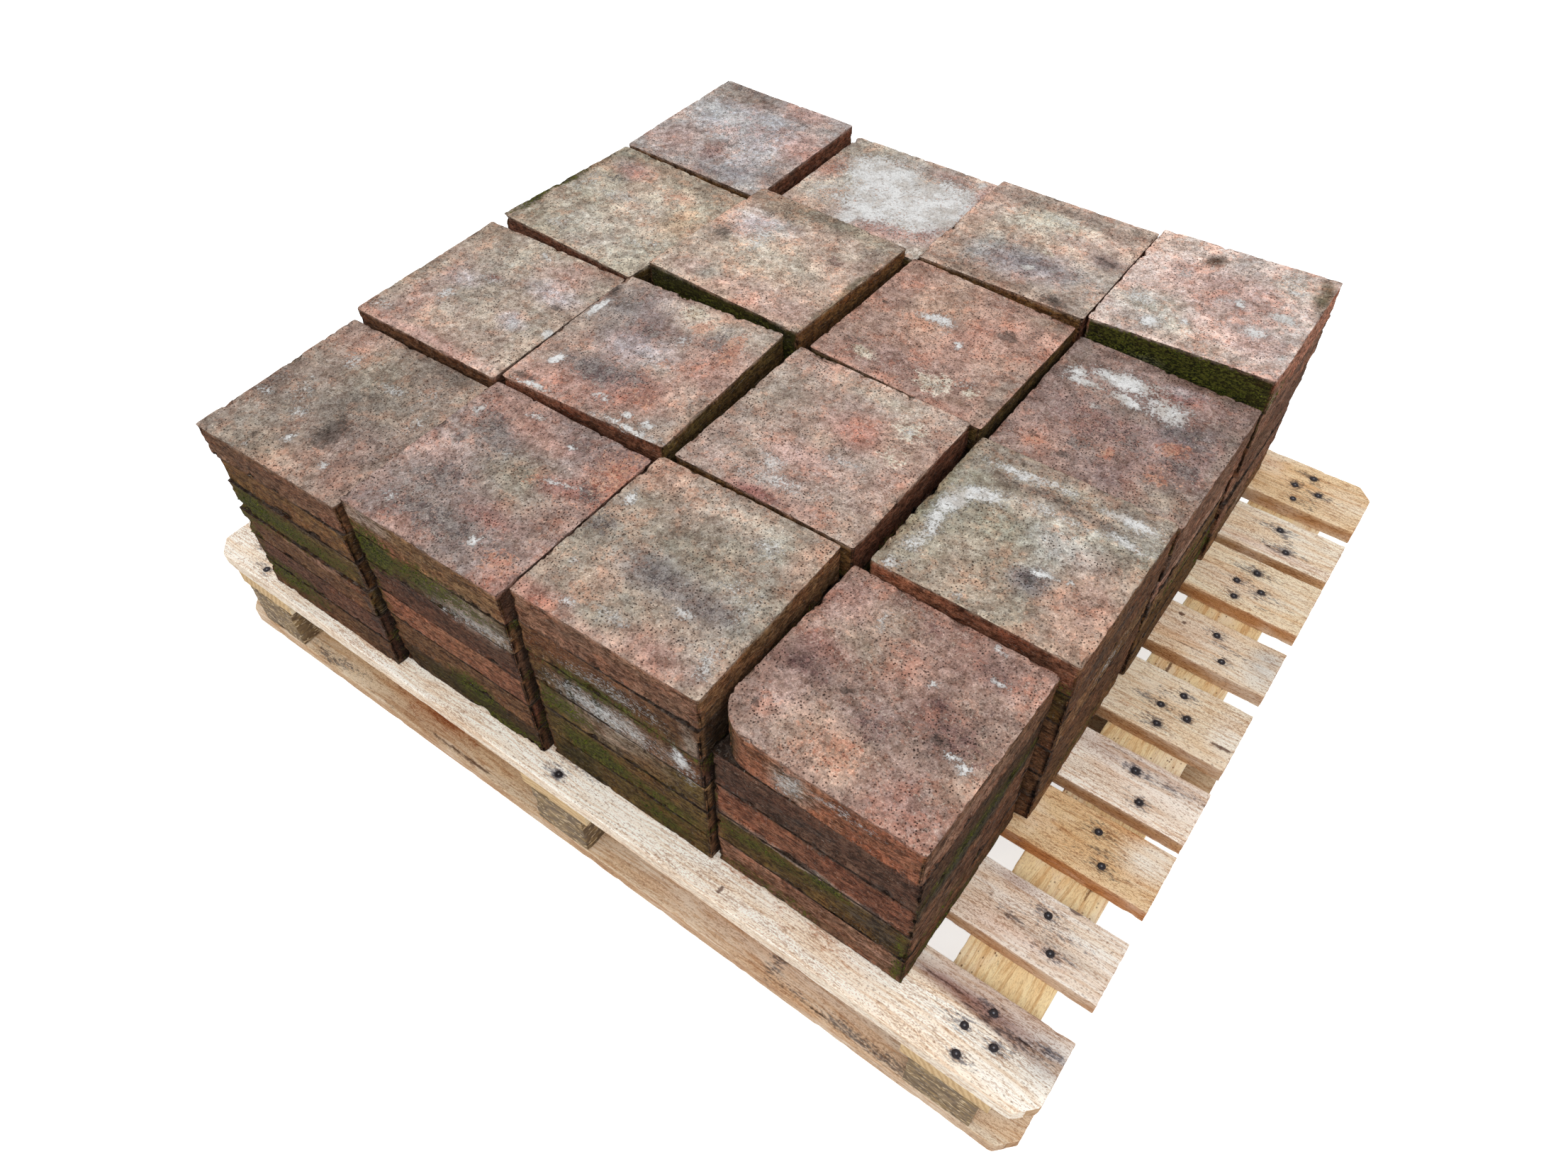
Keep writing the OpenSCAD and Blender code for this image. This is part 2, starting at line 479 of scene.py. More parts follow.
# %% [markdown]
# The clay material reads its place from "clay_place", whether a point is on the side of
# a tile from "side_wear", and four painted attributes. "tint" is the red body, and
# "skin" the colour of the worn skin with its amount. "hues" holds the amounts of slate,
# plum, chalk and orange patches from the kiln, and "cover" those of lime, moss, soot
# and bare flakes. They lie over each other in the order in which they came to the tile.

# %% Clay material
def clay_material():
    """Worn fired clay, with patches and covers by painted amounts."""
    material, tree, shader = new_material("worn fired clay")

    def four_amounts(label):
        amounts = painted(tree, label)
        return *split(tree, amounts["Color"]), amounts["Alpha"]

    def lay(under, mask, strength, over):
        return blend(tree, times(tree, mask, strength), under, over)

    place = painted(tree, "clay_place")["Vector"]
    coarse = three_clouds(tree, place, 27, 9, 0.70)
    fine = three_clouds(tree, place, 110, 6, 0.72)
    sand = noise(tree, place, 460, 4, 0.85)
    slate, plum, chalk, orange = four_amounts("hues")
    lime, moss, soot, flake = four_amounts("cover")
    body = painted(tree, "tint")["Color"]
    body = dye(tree, body, colour(252, 224, 212), step(tree, coarse[1], 0.46, 0.58, 0.0, 0.7))
    skin = painted(tree, "skin")
    worn = torn(tree, skin["Alpha"], coarse[0], fine[0], 0.14, 2.2, 2.4)
    shaded = step(tree, fine[1], 0.36, 0.62, 1.0, 0.0)
    crust = dye(tree, skin["Color"], colour(206, 200, 192), shaded)
    clay = lay(body, worn, 0.85, crust)
    broad = three_clouds(tree, place, 9, 5, 0.6)
    for cloud, low, high, dark, light in (
        (broad[0], 0.34, 0.66, colour(234, 234, 235), (1.09, 1.09, 1.08, 1.0)),
        (broad[1], 0.36, 0.64, (1.06, 0.98, 0.96, 1.0), (0.97, 1.0, 0.98, 1.0)),
        (coarse[2], 0.34, 0.66, colour(228, 226, 226), (1.16, 1.17, 1.18, 1.0)),
    ):
        clay = dye(tree, clay, blend(tree, step(tree, cloud, low, high), dark, light))
    mottle = noise(tree, place, 56, 9, 0.78)
    clay = dye(tree, clay, colour(214, 198, 190), step(tree, mottle, 0.505, 0.54, 0.0, 0.55))
    clay = dye(tree, clay, (1.18, 1.16, 1.13, 1.0), step(tree, mottle, 0.48, 0.44, 0.0, 0.6))
    flank = painted(tree, "side_wear")["Fac"]
    weather = times(tree, step(tree, fine[4], 0.46, 0.58), flank)
    clay = dye(tree, clay, colour(176, 166, 154), weather)
    weather = times(tree, step(tree, coarse[5], 0.52, 0.60, 0.0, 0.8), flank)
    clay = dye(tree, clay, (1.5, 1.46, 1.4, 1.0), weather)
    seams = noise(tree, stretched(tree, place, (0.16, 0.16, 1.0)), 200, 5, 0.75)
    seams = times(tree, step(tree, seams, 0.55, 0.59, 0.0, 0.6), flank)
    clay = dye(tree, clay, colour(150, 132, 122), seams)
    crisp = noise(tree, place, 260, 5, 0.8)
    varied = [step(tree, cloud, 0.42, 0.58) for cloud in fine[:3]]
    ragged = plus(tree, times(tree, fine[2], 0.5), times(tree, crisp, 0.5))
    patches = (
        (slate, 0.07, 1.5, 6.5, 0.74, colour(70, 64, 68), colour(148, 140, 136)),
        (plum, 0.07, 1.5, 6.5, 0.74, colour(80, 54, 56), colour(148, 110, 102)),
        (chalk, 0.09, 1.4, 6.0, 0.72, colour(208, 192, 164), colour(244, 236, 218)),
        (orange, 0.08, 1.5, 5.5, 0.62, colour(186, 112, 84), colour(228, 172, 142)),
    )
    for number, (amount, edge, wide, narrow, strength, dark, light) in enumerate(patches):
        mask = torn(tree, amount, coarse[number + 1], ragged, edge, wide, narrow)
        clay = lay(clay, mask, strength, blend(tree, varied[number % 3], dark, light))
    flaked = torn(tree, flake, coarse[5], fine[3], 0.05, 1.9, 3.0)
    clay = lay(clay, flaked, 0.88, blend(tree, varied[1], colour(180, 98, 74), colour(226, 150, 120)))
    grain = use_group(
        tree, clay_grain,
        {"Place": place, "Clay": clay, "Coarse": coarse[3], "Fine": fine[2], "Sand": sand},
    )
    clay = grain["Colour"]
    speck_place = shifted(tree, place, (0.3, 0.7, 0.2))
    speck = step(tree, noise(tree, speck_place, 190, 6, 0.8), 0.585, 0.61)
    speck = times(tree, speck, step(tree, coarse[0], 0.46, 0.54))
    clay = lay(clay, speck, 0.7, dye(tree, clay, colour(120, 104, 104)))
    flake_light = times(tree, step(tree, crisp, 0.565, 0.60), step(tree, coarse[1], 0.42, 0.56))
    pale = blend(tree, 0.6, dye(tree, clay, (1.5, 1.5, 1.5, 1.0)), colour(226, 212, 196))
    on_top = minus(tree, 1.0, times(tree, flank, 0.6))
    clay = lay(clay, on_top, times(tree, flake_light, 0.75), pale)
    inputs = {"Vector": place, "Rotation": (0.0, 0.0, 0.7), "Scale": (1.0, 0.12, 1.0)}
    scratch_place = add_node(tree, "ShaderNodeMapping", inputs).outputs[0]
    scratch = step(tree, noise(tree, scratch_place, 300, 3, 0.7), 0.61, 0.65)
    scratch = times(tree, scratch, step(tree, coarse[4], 0.48, 0.62, 0.0, 0.5))
    clay = blend(tree, scratch, clay, pale)
    sooty = torn(tree, soot, coarse[0], ragged, 0.13, 1.6, 5.0)
    clay = lay(clay, sooty, 0.66, blend(tree, varied[1], colour(28, 24, 23), colour(90, 80, 74)))
    limed = torn(tree, lime, coarse[4], crisp, 0.07, 1.0, 5.0)
    white = blend(tree, step(tree, coarse[0], 0.40, 0.54), colour(222, 216, 210), colour(255, 255, 254))
    thick = step(tree, lime, 0.3, 1.0, 0.45, 0.95)
    clay = lay(clay, limed, thick, white)
    mossy = torn(tree, moss, coarse[5], crisp, 0.11, 1.8, 5.0)
    green = blend(tree, step(tree, crisp, 0.46, 0.57), colour(24, 30, 10), colour(106, 106, 40))
    clay = lay(clay, mossy, 0.9, green)
    fuzz = times(tree, mossy, crisp)
    height = weighted(tree, grain["Height"], (limed, 0.5), (flaked, -0.7), (worn, 0.3), (fuzz, 1.6))
    dress(tree, shader, clay, grain["Roughness"], height, 0.9, 2.2 * MM, 0.12)
    return material


fired_clay = clay_material()
print("made the material", fired_clay.name)

# %% [markdown]
# ## Sawn wood
#
# The pallet's wood is rough from the saw. Its grain runs along the board as long thin
# streaks, gathered into broader bands, with short darker flecks between them. Noise
# that is squeezed across the board and stretched along it gives all three. The saw
# leaves faint ridges across the grain. At the ends of a board the rings show instead.

# %% Sawn grain
def sawn_grain_group():
    """Bands, streaks and flecks of sawn wood whose grain runs along X."""
    tree, given, result = new_tree(
        "sawn grain", "ShaderNodeTree",
        [
            ("Place", VECTOR, None),
            ("Tint", COLOUR, None),
            ("End", FLOAT, 0.0),
            ("Streaks", FLOAT, 1.0),
            ("Flecks", FLOAT, 1.0),
            ("Dots", FLOAT, 0.0),
        ],
        [("Colour", COLOUR), ("Height", FLOAT)],
    )
    place = given["Place"]
    sway = noise(tree, stretched(tree, place, (1.0, 4.0, 4.0)), 3.2, 2, 0.5, 0, 1)
    sway = scaled(tree, vectors(tree, "SUBTRACT", sway, (0.5, 0.5, 0.5)), 0.05)
    bent = shifted(tree, place, stretched(tree, sway, (0.0, 1.0, 1.0)))
    broad = noise(tree, stretched(tree, bent, (0.06, 1.0, 1.0)), 60, 3, 0.55)
    line = noise(tree, stretched(tree, bent, (0.04, 1.0, 1.0)), 300, 3, 0.62)
    blush = noise(tree, stretched(tree, place, (0.4, 1.0, 1.0)), 24, 4, 0.6)
    fleck_noise = noise(tree, stretched(tree, place, (0.30, 1.0, 1.0)), 1250, 3, 0.65)
    where = step(tree, blush, 0.35, 0.60, 0.05, 0.0)
    fleck = step(tree, plus(tree, fleck_noise, where), 0.56, 0.63)
    dot_place = stretched(tree, place, (0.7, 1.0, 1.0))
    dot = step(tree, cells(tree, dot_place, 210), 0.24, 0.15)
    dot = times(tree, dot, step(tree, blush, 0.42, 0.60))
    wood = given["Tint"]
    amount = times(tree, step(tree, broad, 0.44, 0.66, 0.0, 0.8), given["Streaks"])
    wood = dye(tree, wood, colour(246, 228, 208), amount)
    pale = blend(tree, 0.4, wood, colour(250, 244, 232))
    wood = blend(tree, step(tree, blush, 0.46, 0.66, 0.0, 0.9), wood, pale)
    amount = times(tree, step(tree, line, 0.50, 0.60, 0.0, 0.7), given["Streaks"])
    wood = dye(tree, wood, colour(222, 196, 170), amount)
    amount = times(tree, fleck, given["Flecks"], 0.75)
    wood = dye(tree, wood, colour(166, 132, 106), amount)
    dash = noise(tree, stretched(tree, place, (0.20, 1.0, 1.0)), 520, 3, 0.7)
    dash = step(tree, plus(tree, dash, where), 0.57, 0.63)
    amount = times(tree, dash, given["Flecks"], 0.6)
    wood = dye(tree, wood, colour(184, 148, 120), amount)
    amount = times(tree, dot, given["Dots"], 0.8)
    wood = dye(tree, wood, colour(120, 88, 62), amount)
    rings = add_node(
        tree, "ShaderNodeTexWave",
        {
            "Vector": shifted(tree, place, (0.0, 0.0, 0.16)),
            "Scale": 42.0,
            "Distortion": 3.0,
            "Detail": 2.0,
            "Detail Scale": 1.5,
        },
        wave_type="RINGS", rings_direction="X",
    ).outputs[1]
    pores = noise(tree, place, 900, 3, 0.7)
    late = step(tree, rings, 0.3, 0.8, 0.1, 0.7)
    ring = blend(tree, late, colour(236, 214, 190), colour(196, 164, 132))
    end_wood = dye(tree, given["Tint"], ring)
    end_wood = dye(tree, end_wood, colour(160, 136, 114), step(tree, pores, 0.5, 0.7, 0.0, 0.6))
    wood = blend(tree, given["End"], wood, end_wood)
    saw_ridge = noise(tree, stretched(tree, place, (1.0, 0.12, 0.12)), 420, 2, 0.5)
    height = weighted(tree, fleck_noise, (line, 0.9), (saw_ridge, 0.5), (fleck, -0.35))
    tree.links.new(wood, result["Colour"])
    tree.links.new(height, result["Height"])
    return tree


sawn_grain = sawn_grain_group()
print("made the group", sawn_grain.name)

# %% [markdown]
# Wood beside an iron nail turns blue-black, damp leaves brown stains, and the ends of
# the boards have greyed. A board's mesh carries these as painted amounts in "stain":
# red is the iron stain, green the brown stain, blue the dark knots and cracks, and
# alpha how much of the face is end grain.

# %% Timber material
def timber_material(name, turned=False, streaks=1.0, flecks=1.0, dots=0.0):
    """Rough sawn wood. Turned wood has its grain along Y instead of X."""
    material, tree, shader = new_material(name)
    place = object_place(tree)
    if turned:
        turn = (0.0, 0.0, math.radians(-90))
        place = add_node(tree, "ShaderNodeMapping", {"Vector": place, "Rotation": turn}).outputs[0]
    tint = painted(tree, "tint")["Color"]
    marked = painted(tree, "stain")
    amounts = split(tree, marked["Color"])
    grain = use_group(
        tree, sawn_grain,
        {
            "Place": place,
            "Tint": tint,
            "End": marked["Alpha"],
            "Streaks": streaks,
            "Flecks": flecks,
            "Dots": dots,
        },
    )
    wood = grain["Colour"]
    along = stretched(tree, place, (0.35, 1.0, 1.0))
    coarse = three_clouds(tree, along, 60, 5, 0.65)
    fine = noise(tree, along, 420, 4, 0.72)
    damp = torn(tree, amounts["Green"], coarse[0], fine, 0.20, 1.8, 1.8)
    wood = dye(tree, wood, colour(200, 146, 108), times(tree, damp, 0.8))
    iron = torn(tree, amounts["Red"], coarse[1], fine, 0.26, 1.4, 2.4)
    wood = dye(tree, wood, colour(116, 116, 130), times(tree, iron, 0.85))
    core = minus(tree, amounts["Red"], 0.25)
    black = torn(tree, core, coarse[2], fine, 0.12, 0.4, 0.9)
    wood = blend(tree, times(tree, black, 0.9), wood, colour(36, 36, 44))
    knot = torn(tree, amounts["Blue"], coarse[2], fine, 0.16, 1.0, 1.0)
    wood = dye(tree, wood, colour(100, 68, 54), times(tree, knot, 0.85))
    roughness = step(tree, grain["Height"], 0.6, 1.6, 0.88, 0.72)
    dress(tree, shader, wood, roughness, grain["Height"], 0.5, 0.7 * MM, 0.3)
    return material


deck_timber = timber_material("deck timber", streaks=0.8, dots=0.55)
stringer_timber = timber_material("stringer timber", True, streaks=0.9, flecks=0.4, dots=1.0)
bottom_timber = timber_material("bottom timber", flecks=0.8)
print("made the timber materials")

# %% [markdown]
# ## Pressed wood blocks
#
# The blocks between the boards are not sawn: they are pressed from chips and glue.
# Flat chips of many browns lie in all directions, with dark glue between them.

# %% Pressed block material
def pressed_block_material():
    """Pressed wood chips: stretched cells of many browns."""
    material, tree, shader = new_material("pressed wood chips")
    place = object_place(tree)
    drift = scaled(tree, noise(tree, place, 90, 3, 0.6, 0, 1), 0.012)
    flat = stretched(tree, shifted(tree, place, drift), (0.45, 0.45, 1.5))
    chip = add_node(tree, "ShaderNodeTexVoronoi", {"Vector": flat, "Scale": 150.0}).outputs
    lot = split(tree, chip["Color"])
    small = cells(tree, stretched(tree, place, (0.6, 0.6, 1.3)), 420, "Color")
    small_lot = split(tree, small)
    wood = blend(tree, lot["Red"], colour(78, 60, 38), colour(166, 138, 92))
    wood = blend(tree, times(tree, lot["Green"], 0.5), wood, colour(128, 106, 74))
    wood = blend(tree, times(tree, small_lot["Red"], 0.45), wood, colour(92, 70, 52))
    light = step(tree, small_lot["Green"], 0.84, 0.92, 0.0, 0.7)
    wood = blend(tree, light, wood, colour(226, 204, 168))
    glue = step(tree, chip["Distance"], 0.45, 0.75)
    wood = blend(tree, times(tree, glue, 0.6), wood, colour(74, 56, 42))
    height = weighted(tree, lot["Blue"], (glue, -0.8), (small_lot["Blue"], 0.5))
    roughness = step(tree, lot["Blue"], 0, 1, 0.7, 0.9)
    dress(tree, shader, wood, roughness, height, 0.6, 1.0 * MM)
    return material


pressed_block = pressed_block_material()
print("made the material", pressed_block.name)

# %% [markdown]
# ## Nail steel and moss
#
# A driven nail head is dull dark iron, with a painted highlight at its centre. Moss
# is many tiny rough green shoots.

# %% Nail and moss materials
def nail_material():
    """Dark iron, with a painted highlight in the middle of the head."""
    material, tree, shader = new_material("dull nail steel")
    place = object_place(tree)
    struck = painted(tree, "struck")["Fac"]
    rust = step(tree, noise(tree, place, 800, 4, 0.7), 0.45, 0.62)
    # Painted highlight: the middle of the head is brighter.
    iron = blend(tree, struck, colour(46, 45, 50), colour(168, 170, 176))
    iron = blend(tree, times(tree, rust, 0.4), iron, colour(84, 58, 44))
    tree.links.new(step(tree, rust, 0.0, 1.0, 0.85, 0.3), shader.inputs["Metallic"])
    roughness = step(tree, rust, 0.0, 1.0, 0.42, 0.75)
    dress(tree, shader, iron, roughness, rust, 0.4, 0.4 * MM)
    return material


def moss_material():
    """Rough green shoots, from dark at the heart to yellow-green."""
    material, tree, shader = new_material("moss shoots")
    place = object_place(tree)
    patch = step(tree, noise(tree, place, 60, 3, 0.6), 0.4, 0.62)
    fine = step(tree, noise(tree, place, 700, 3, 0.7), 0.35, 0.7)
    deep = blend(tree, patch, colour(30, 38, 8), colour(58, 62, 16))
    bright = blend(tree, patch, colour(72, 82, 24), colour(120, 122, 46))
    dress(tree, shader, blend(tree, fine, deep, bright), 0.95, fine, 0.5, 0.5 * MM, 0.15)
    return material


nail_steel = nail_material()
moss_shoots = moss_material()
print("made the nail and moss materials")

# %% [markdown]
# ## Blanks: boxes with a fine grid
#
# Tiles, boards, stringers and blocks are all boxes to start with. A box whose faces
# carry a grid can be worn and dented later, and every grid line can be put where it
# is wanted: close together at an edge or a crack, far apart where nothing
# shows. The flat inside of a face that nobody sees becomes one large face. Then the
# edges are rounded, and the corners of the outline are rounded or clipped.

# %% Blank boxes
def grid_lines(low, high, spacing, edge_radius, extra=()):
    """Places of grid lines from low to high, closer at both ends, with some extra ones."""
    inner_low = low + edge_radius
    inner_high = high - edge_radius
    count = max(1, round((inner_high - inner_low) / spacing))
    lines = list(np.linspace(inner_low, inner_high, count + 1))
    lines += [low, low + 0.4 * edge_radius, high - 0.4 * edge_radius, high]
    for line in extra:
        lines = [old for old in lines if abs(old - line) > 0.45 * spacing or old in (low, high)]
        lines.append(line)
    return np.array(sorted(set(lines)))


def quads(grid, flip):
    """The four-sided faces of a grid of point numbers, as rows."""
    corners = [grid[:-1, :-1], grid[1:, :-1], grid[1:, 1:], grid[:-1, 1:]]
    if flip:
        corners.reverse()
    return np.stack(corners, -1)


def face_with_lid(grid, first, second, rim, flip):
    """A rim of small faces round the grid, and one large face inside it."""
    small = quads(grid, flip)
    a = np.searchsorted(first, [first[0] + rim, first[-1] - rim + 1e-9])
    b = np.searchsorted(second, [second[0] + rim, second[-1] - rim + 1e-9])
    a_low, a_high = int(a[0]), int(a[1]) - 1
    b_low, b_high = int(b[0]), int(b[1]) - 1
    if a_high <= a_low or b_high <= b_low:
        return small.reshape(-1, 4).tolist(), []
    inside = np.zeros(small.shape[:2], bool)
    inside[a_low:a_high, b_low:b_high] = True
    lid = list(grid[a_low:a_high, b_low])
    lid += list(grid[a_high, b_low:b_high])
    lid += list(grid[a_high:a_low:-1, b_high])
    lid += list(grid[a_low, b_high:b_low:-1])
    if flip:
        lid.reverse()
    return small[~inside].tolist(), [[int(point) for point in lid]]


def blank_box(xs, ys, zs, rim, open_top):
    """Points and faces of a box with grid lines at xs, ys and zs.

    The underside has small faces only as far in from its edges as the rim says,
    and so has the top unless open_top says that it keeps its whole grid.
    """
    shape = (len(xs), len(ys), len(zs))
    skin = np.zeros(shape, bool)
    skin[0] = skin[-1] = True
    skin[:, 0] = skin[:, -1] = True
    skin[:, :, 0] = skin[:, :, -1] = True
    number = -np.ones(shape, int)
    number[skin] = np.arange(skin.sum())
    where = np.argwhere(skin)
    points = np.stack([xs[where[:, 0]], ys[where[:, 1]], zs[where[:, 2]]], 1)
    faces = []
    for grid, flip in (
        (number[0], True),
        (number[-1], False),
        (number[:, 0], False),
        (number[:, -1], True),
    ):
        faces += quads(grid, flip).reshape(-1, 4).tolist()
    for level, flip in ((0, True), (-1, False)):
        if level == -1 and open_top:
            faces += quads(number[:, :, level], flip).reshape(-1, 4).tolist()
        else:
            small, lid = face_with_lid(number[:, :, level], xs, ys, rim, flip)
            faces += small + lid
    used = np.unique(np.concatenate([np.array(face) for face in faces]))
    renumber = -np.ones(len(points), int)
    renumber[used] = np.arange(len(used))
    return points[used], [[int(renumber[point]) for point in face] for face in faces]


def rounded_edges(points, low, high, radius):
    """Moves the points near the edges of a box onto a round of that radius."""
    core = np.clip(points, np.array(low) + radius, np.array(high) - radius)
    away = points - core
    length = np.linalg.norm(away, axis=1, keepdims=True)
    return core + away / np.maximum(length, 1e-9) * radius


def shaped_corner(points, low, high, x_side, y_side, size, power):
    """Turns one corner of the outline into a round (power 2) or a straight clip (power 1)."""
    x_end = high[0] if x_side > 0 else low[0]
    y_end = high[1] if y_side > 0 else low[1]
    a = (points[:, 0] - (x_end - x_side * size)) * x_side
    b = (points[:, 1] - (y_end - y_side * size)) * y_side
    near = (a > 0) & (b > 0)
    reach = np.maximum(a, b)
    norm = (np.abs(a) ** power + np.abs(b) ** power) ** (1 / power)
    share = np.where(near, reach / np.maximum(norm, 1e-9), 1.0)
    shaped = points.copy()
    shaped[near, 0] = (x_end - x_side * size) + (a * share * x_side)[near]
    shaped[near, 1] = (y_end - y_side * size) + (b * share * y_side)[near]
    return shaped


def edge_nearness(points, low, high, reach):
    """One at the edges of a box, falling to nothing further in than reach."""
    gaps = np.minimum(points - np.array(low), np.array(high) - points)
    second = np.sort(gaps, axis=1)[:, 1]
    return np.exp(-((second / reach) ** 1.5))


def new_mesh_object(name, points, faces, attributes=()):
    """An object with that mesh and named numbers or vectors on its points."""
    mesh = bpy.data.meshes.new(name)
    mesh.from_pydata([tuple(point) for point in points], [], faces)
    for label, values in attributes:
        put_attribute(mesh, label, values)
    piece = bpy.data.objects.new(name, mesh)
    bpy.context.scene.collection.objects.link(piece)
    return piece


ATTRIBUTES = {1: ("FLOAT", "value"), 3: ("FLOAT_VECTOR", "vector"), 4: ("FLOAT_COLOR", "color")}


def put_attribute(mesh, label, values):
    """Stores one number, vector or colour for each point of the mesh."""
    values = np.asarray(values, np.float32)
    kind, field = ATTRIBUTES[1 if values.ndim == 1 else values.shape[1]]
    attribute = mesh.attributes.new(label, kind, "POINT")
    attribute.data.foreach_set(field, values.ravel())


def get_attribute(mesh, label, width):
    """Reads an attribute back as rows of numbers."""
    values = np.zeros(len(mesh.vertices) * width, np.float32)
    mesh.attributes[label].data.foreach_get(ATTRIBUTES[width][1], values)
    return values.astype(float) if width == 1 else values.reshape(-1, width).astype(float)


def point_places(mesh):
    """The places of all points of a mesh, as rows."""
    places = np.zeros(len(mesh.vertices) * 3, np.float32)
    mesh.vertices.foreach_get("co", places)
    return places.reshape(-1, 3).astype(float)


def point_normals(mesh):
    """The normals of all points of a mesh, as rows."""
    normals = np.zeros(len(mesh.vertices) * 3, np.float32)
    mesh.vertex_normals.foreach_get("vector", normals)
    return normals.reshape(-1, 3)


def drop_attributes(mesh, labels):
    """Takes attributes off a mesh that have done their work."""
    for label in labels:
        if label in mesh.attributes:
            mesh.attributes.remove(mesh.attributes[label])


def triangle_count(piece):
    """How many triangles a mesh comes to."""
    return sum(len(polygon.vertices) - 2 for polygon in piece.data.polygons)


def run_nodes(piece, tree, settings):
    """Runs a geometry tree on a piece once, and keeps the result as a plain mesh."""
    modifier = piece.modifiers.new(tree.name, "NODES")
    modifier.node_group = tree
    names = {
        item.name: item.identifier
        for item in tree.interface.items_tree
        if item.item_type == "SOCKET" and item.in_out == "INPUT"
    }
    for label, value in settings.items():
        modifier[names[label]] = value
    bpy.context.view_layer.update()
    depsgraph = bpy.context.evaluated_depsgraph_get()
    settled = bpy.data.meshes.new_from_object(
        piece.evaluated_get(depsgraph), preserve_all_data_layers=True, depsgraph=depsgraph
    )
    piece.modifiers.clear()
    piece.data = settled
    return piece


print("helpers for meshes are ready")

# %% [markdown]
# ## Where each tile lies
#
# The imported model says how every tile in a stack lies: pushed a little to one side,
# turned a little, and tilted a little more the higher it is. Each tile is an island
# in the mesh of its stack. Its up direction is the direction of its largest upper
# face, and its front is the side face that looks most to the front.

# %% Tile places from the frame
def tile_islands(node):
    """The separate solids in a node, as lists of (face normal, face area, face points)."""
    mesh = node.data
    places = point_places(mesh)
    keys = {}
    merged = [
        keys.setdefault(tuple(place), len(keys)) for place in np.round(places * 1e5).astype(int)
    ]
    parent = list(range(len(keys)))

    def root(i):
        while parent[i] != i:
            parent[i] = parent[parent[i]]
            i = parent[i]
        return i

    for polygon in mesh.polygons:
        first = root(merged[polygon.vertices[0]])
        for other in polygon.vertices[1:]:
            parent[root(merged[other])] = first
    islands = {}
    for polygon in mesh.polygons:
        key = root(merged[polygon.vertices[0]])
        corner_places = places[list(polygon.vertices)]
        row = (np.array(polygon.normal), polygon.area, corner_places)
        islands.setdefault(key, []).append(row)
    return list(islands.values())


def tile_place(island):
    """Centre, axes (as columns) and size of one tile."""
    up = sum(normal * area for normal, area, _ in island if normal[2] > 0.9)
    up /= np.linalg.norm(up)
    front = sum(normal * area for normal, area, _ in island if normal[1] < -0.98)
    back = -(front - up * (front @ up))
    back /= np.linalg.norm(back)
    right = np.cross(back, up)
    axes = np.stack([right, back, up], 1)
    local = np.concatenate([rows for _, _, rows in island]) @ axes
    low = local.min(0)
    high = local.max(0)
    return axes @ ((low + high) / 2), axes, high - low


STACKS = {}
for name in sorted(NODES):
    if name.startswith("tile_stack_"):
        lying = [tile_place(island) for island in tile_islands(NODES[name])]
        STACKS[name[-2:]] = sorted(lying, key=lambda tile: tile[0][2])
print({label: len(tiles) for label, tiles in STACKS.items()})

# %% [markdown]
# ## Tile blanks
#
# Five blanks are enough for 95 tiles: one with a fine top for the tile that lies
# uppermost, the same with one corner broken off, one with fine sides for the tiles
# under it, a plainer one for the left and the back of the load, and a coarse one for
# stacks that are hidden inside it. Each blank keeps its own places, and how near each
# point is to an edge, as attributes, so that the tree knows where wear belongs.

# %% Tile blanks
TILE_SIDE = 227 * MM
TILE_THICKNESS = 48 * MM
TOP_CORNER = 3.5 * MM
UNDER_CORNER = 2.5 * MM
BROKEN_RADIUS = 45 * MM


def tile_blank(name, spacing, row_height, rim, open_top, corner, broken=0.0, edge=1.4 * MM):
    """One tile about its own centre, ready to be worn."""
    half = np.array([TILE_SIDE, TILE_SIDE, TILE_THICKNESS]) / 2
    across = grid_lines(-half[0], half[0], spacing, edge)
    upright = grid_lines(-half[2], half[2], row_height, edge)
    points, faces = blank_box(across, across, upright, rim, open_top)
    nearness = edge_nearness(points, -half, half, 7 * MM)
    side = np.clip(1.3 - (half[2] - np.abs(points[:, 2])) / (2 * MM), 0, 1)
    side = 1 - np.where(np.abs(points[:, 2]) > half[2] - 1e-6, 1.0, side)
    points = rounded_edges(points, -half, half, edge)
    for x_side, y_side in ((1, -1), (1, 1), (-1, 1), (-1, -1)):
        radius = corner
        if broken and (x_side, y_side) == (-1, -1):
            radius = broken
        points = shaped_corner(points, -half, half, x_side, y_side, radius, 2)
    attributes = [("tile_place", points), ("edge_wear", nearness), ("side_wear", side)]
    return new_mesh_object(name, points, faces, attributes)


FINE, MEDIUM, ROWS = 3.7 * MM, 5.4 * MM, 5.0 * MM
RIM = 6 * MM
top_blank = tile_blank("top blank", FINE, ROWS, RIM, True, TOP_CORNER)
broken_blank = tile_blank("broken blank", FINE, ROWS, RIM, True, TOP_CORNER, BROKEN_RADIUS)
under_blank = tile_blank("under blank", MEDIUM, ROWS, RIM, False, UNDER_CORNER)
far_blank = tile_blank("far blank", 8 * MM, 7 * MM, RIM, False, UNDER_CORNER)
hidden_blank = tile_blank("hidden blank", 18 * MM, 12 * MM, 20 * MM, False, UNDER_CORNER)
BLANKS = (top_blank, broken_blank, under_blank, far_blank, hidden_blank)
for blank in BLANKS:
    print(blank.name, triangle_count(blank), "triangles")

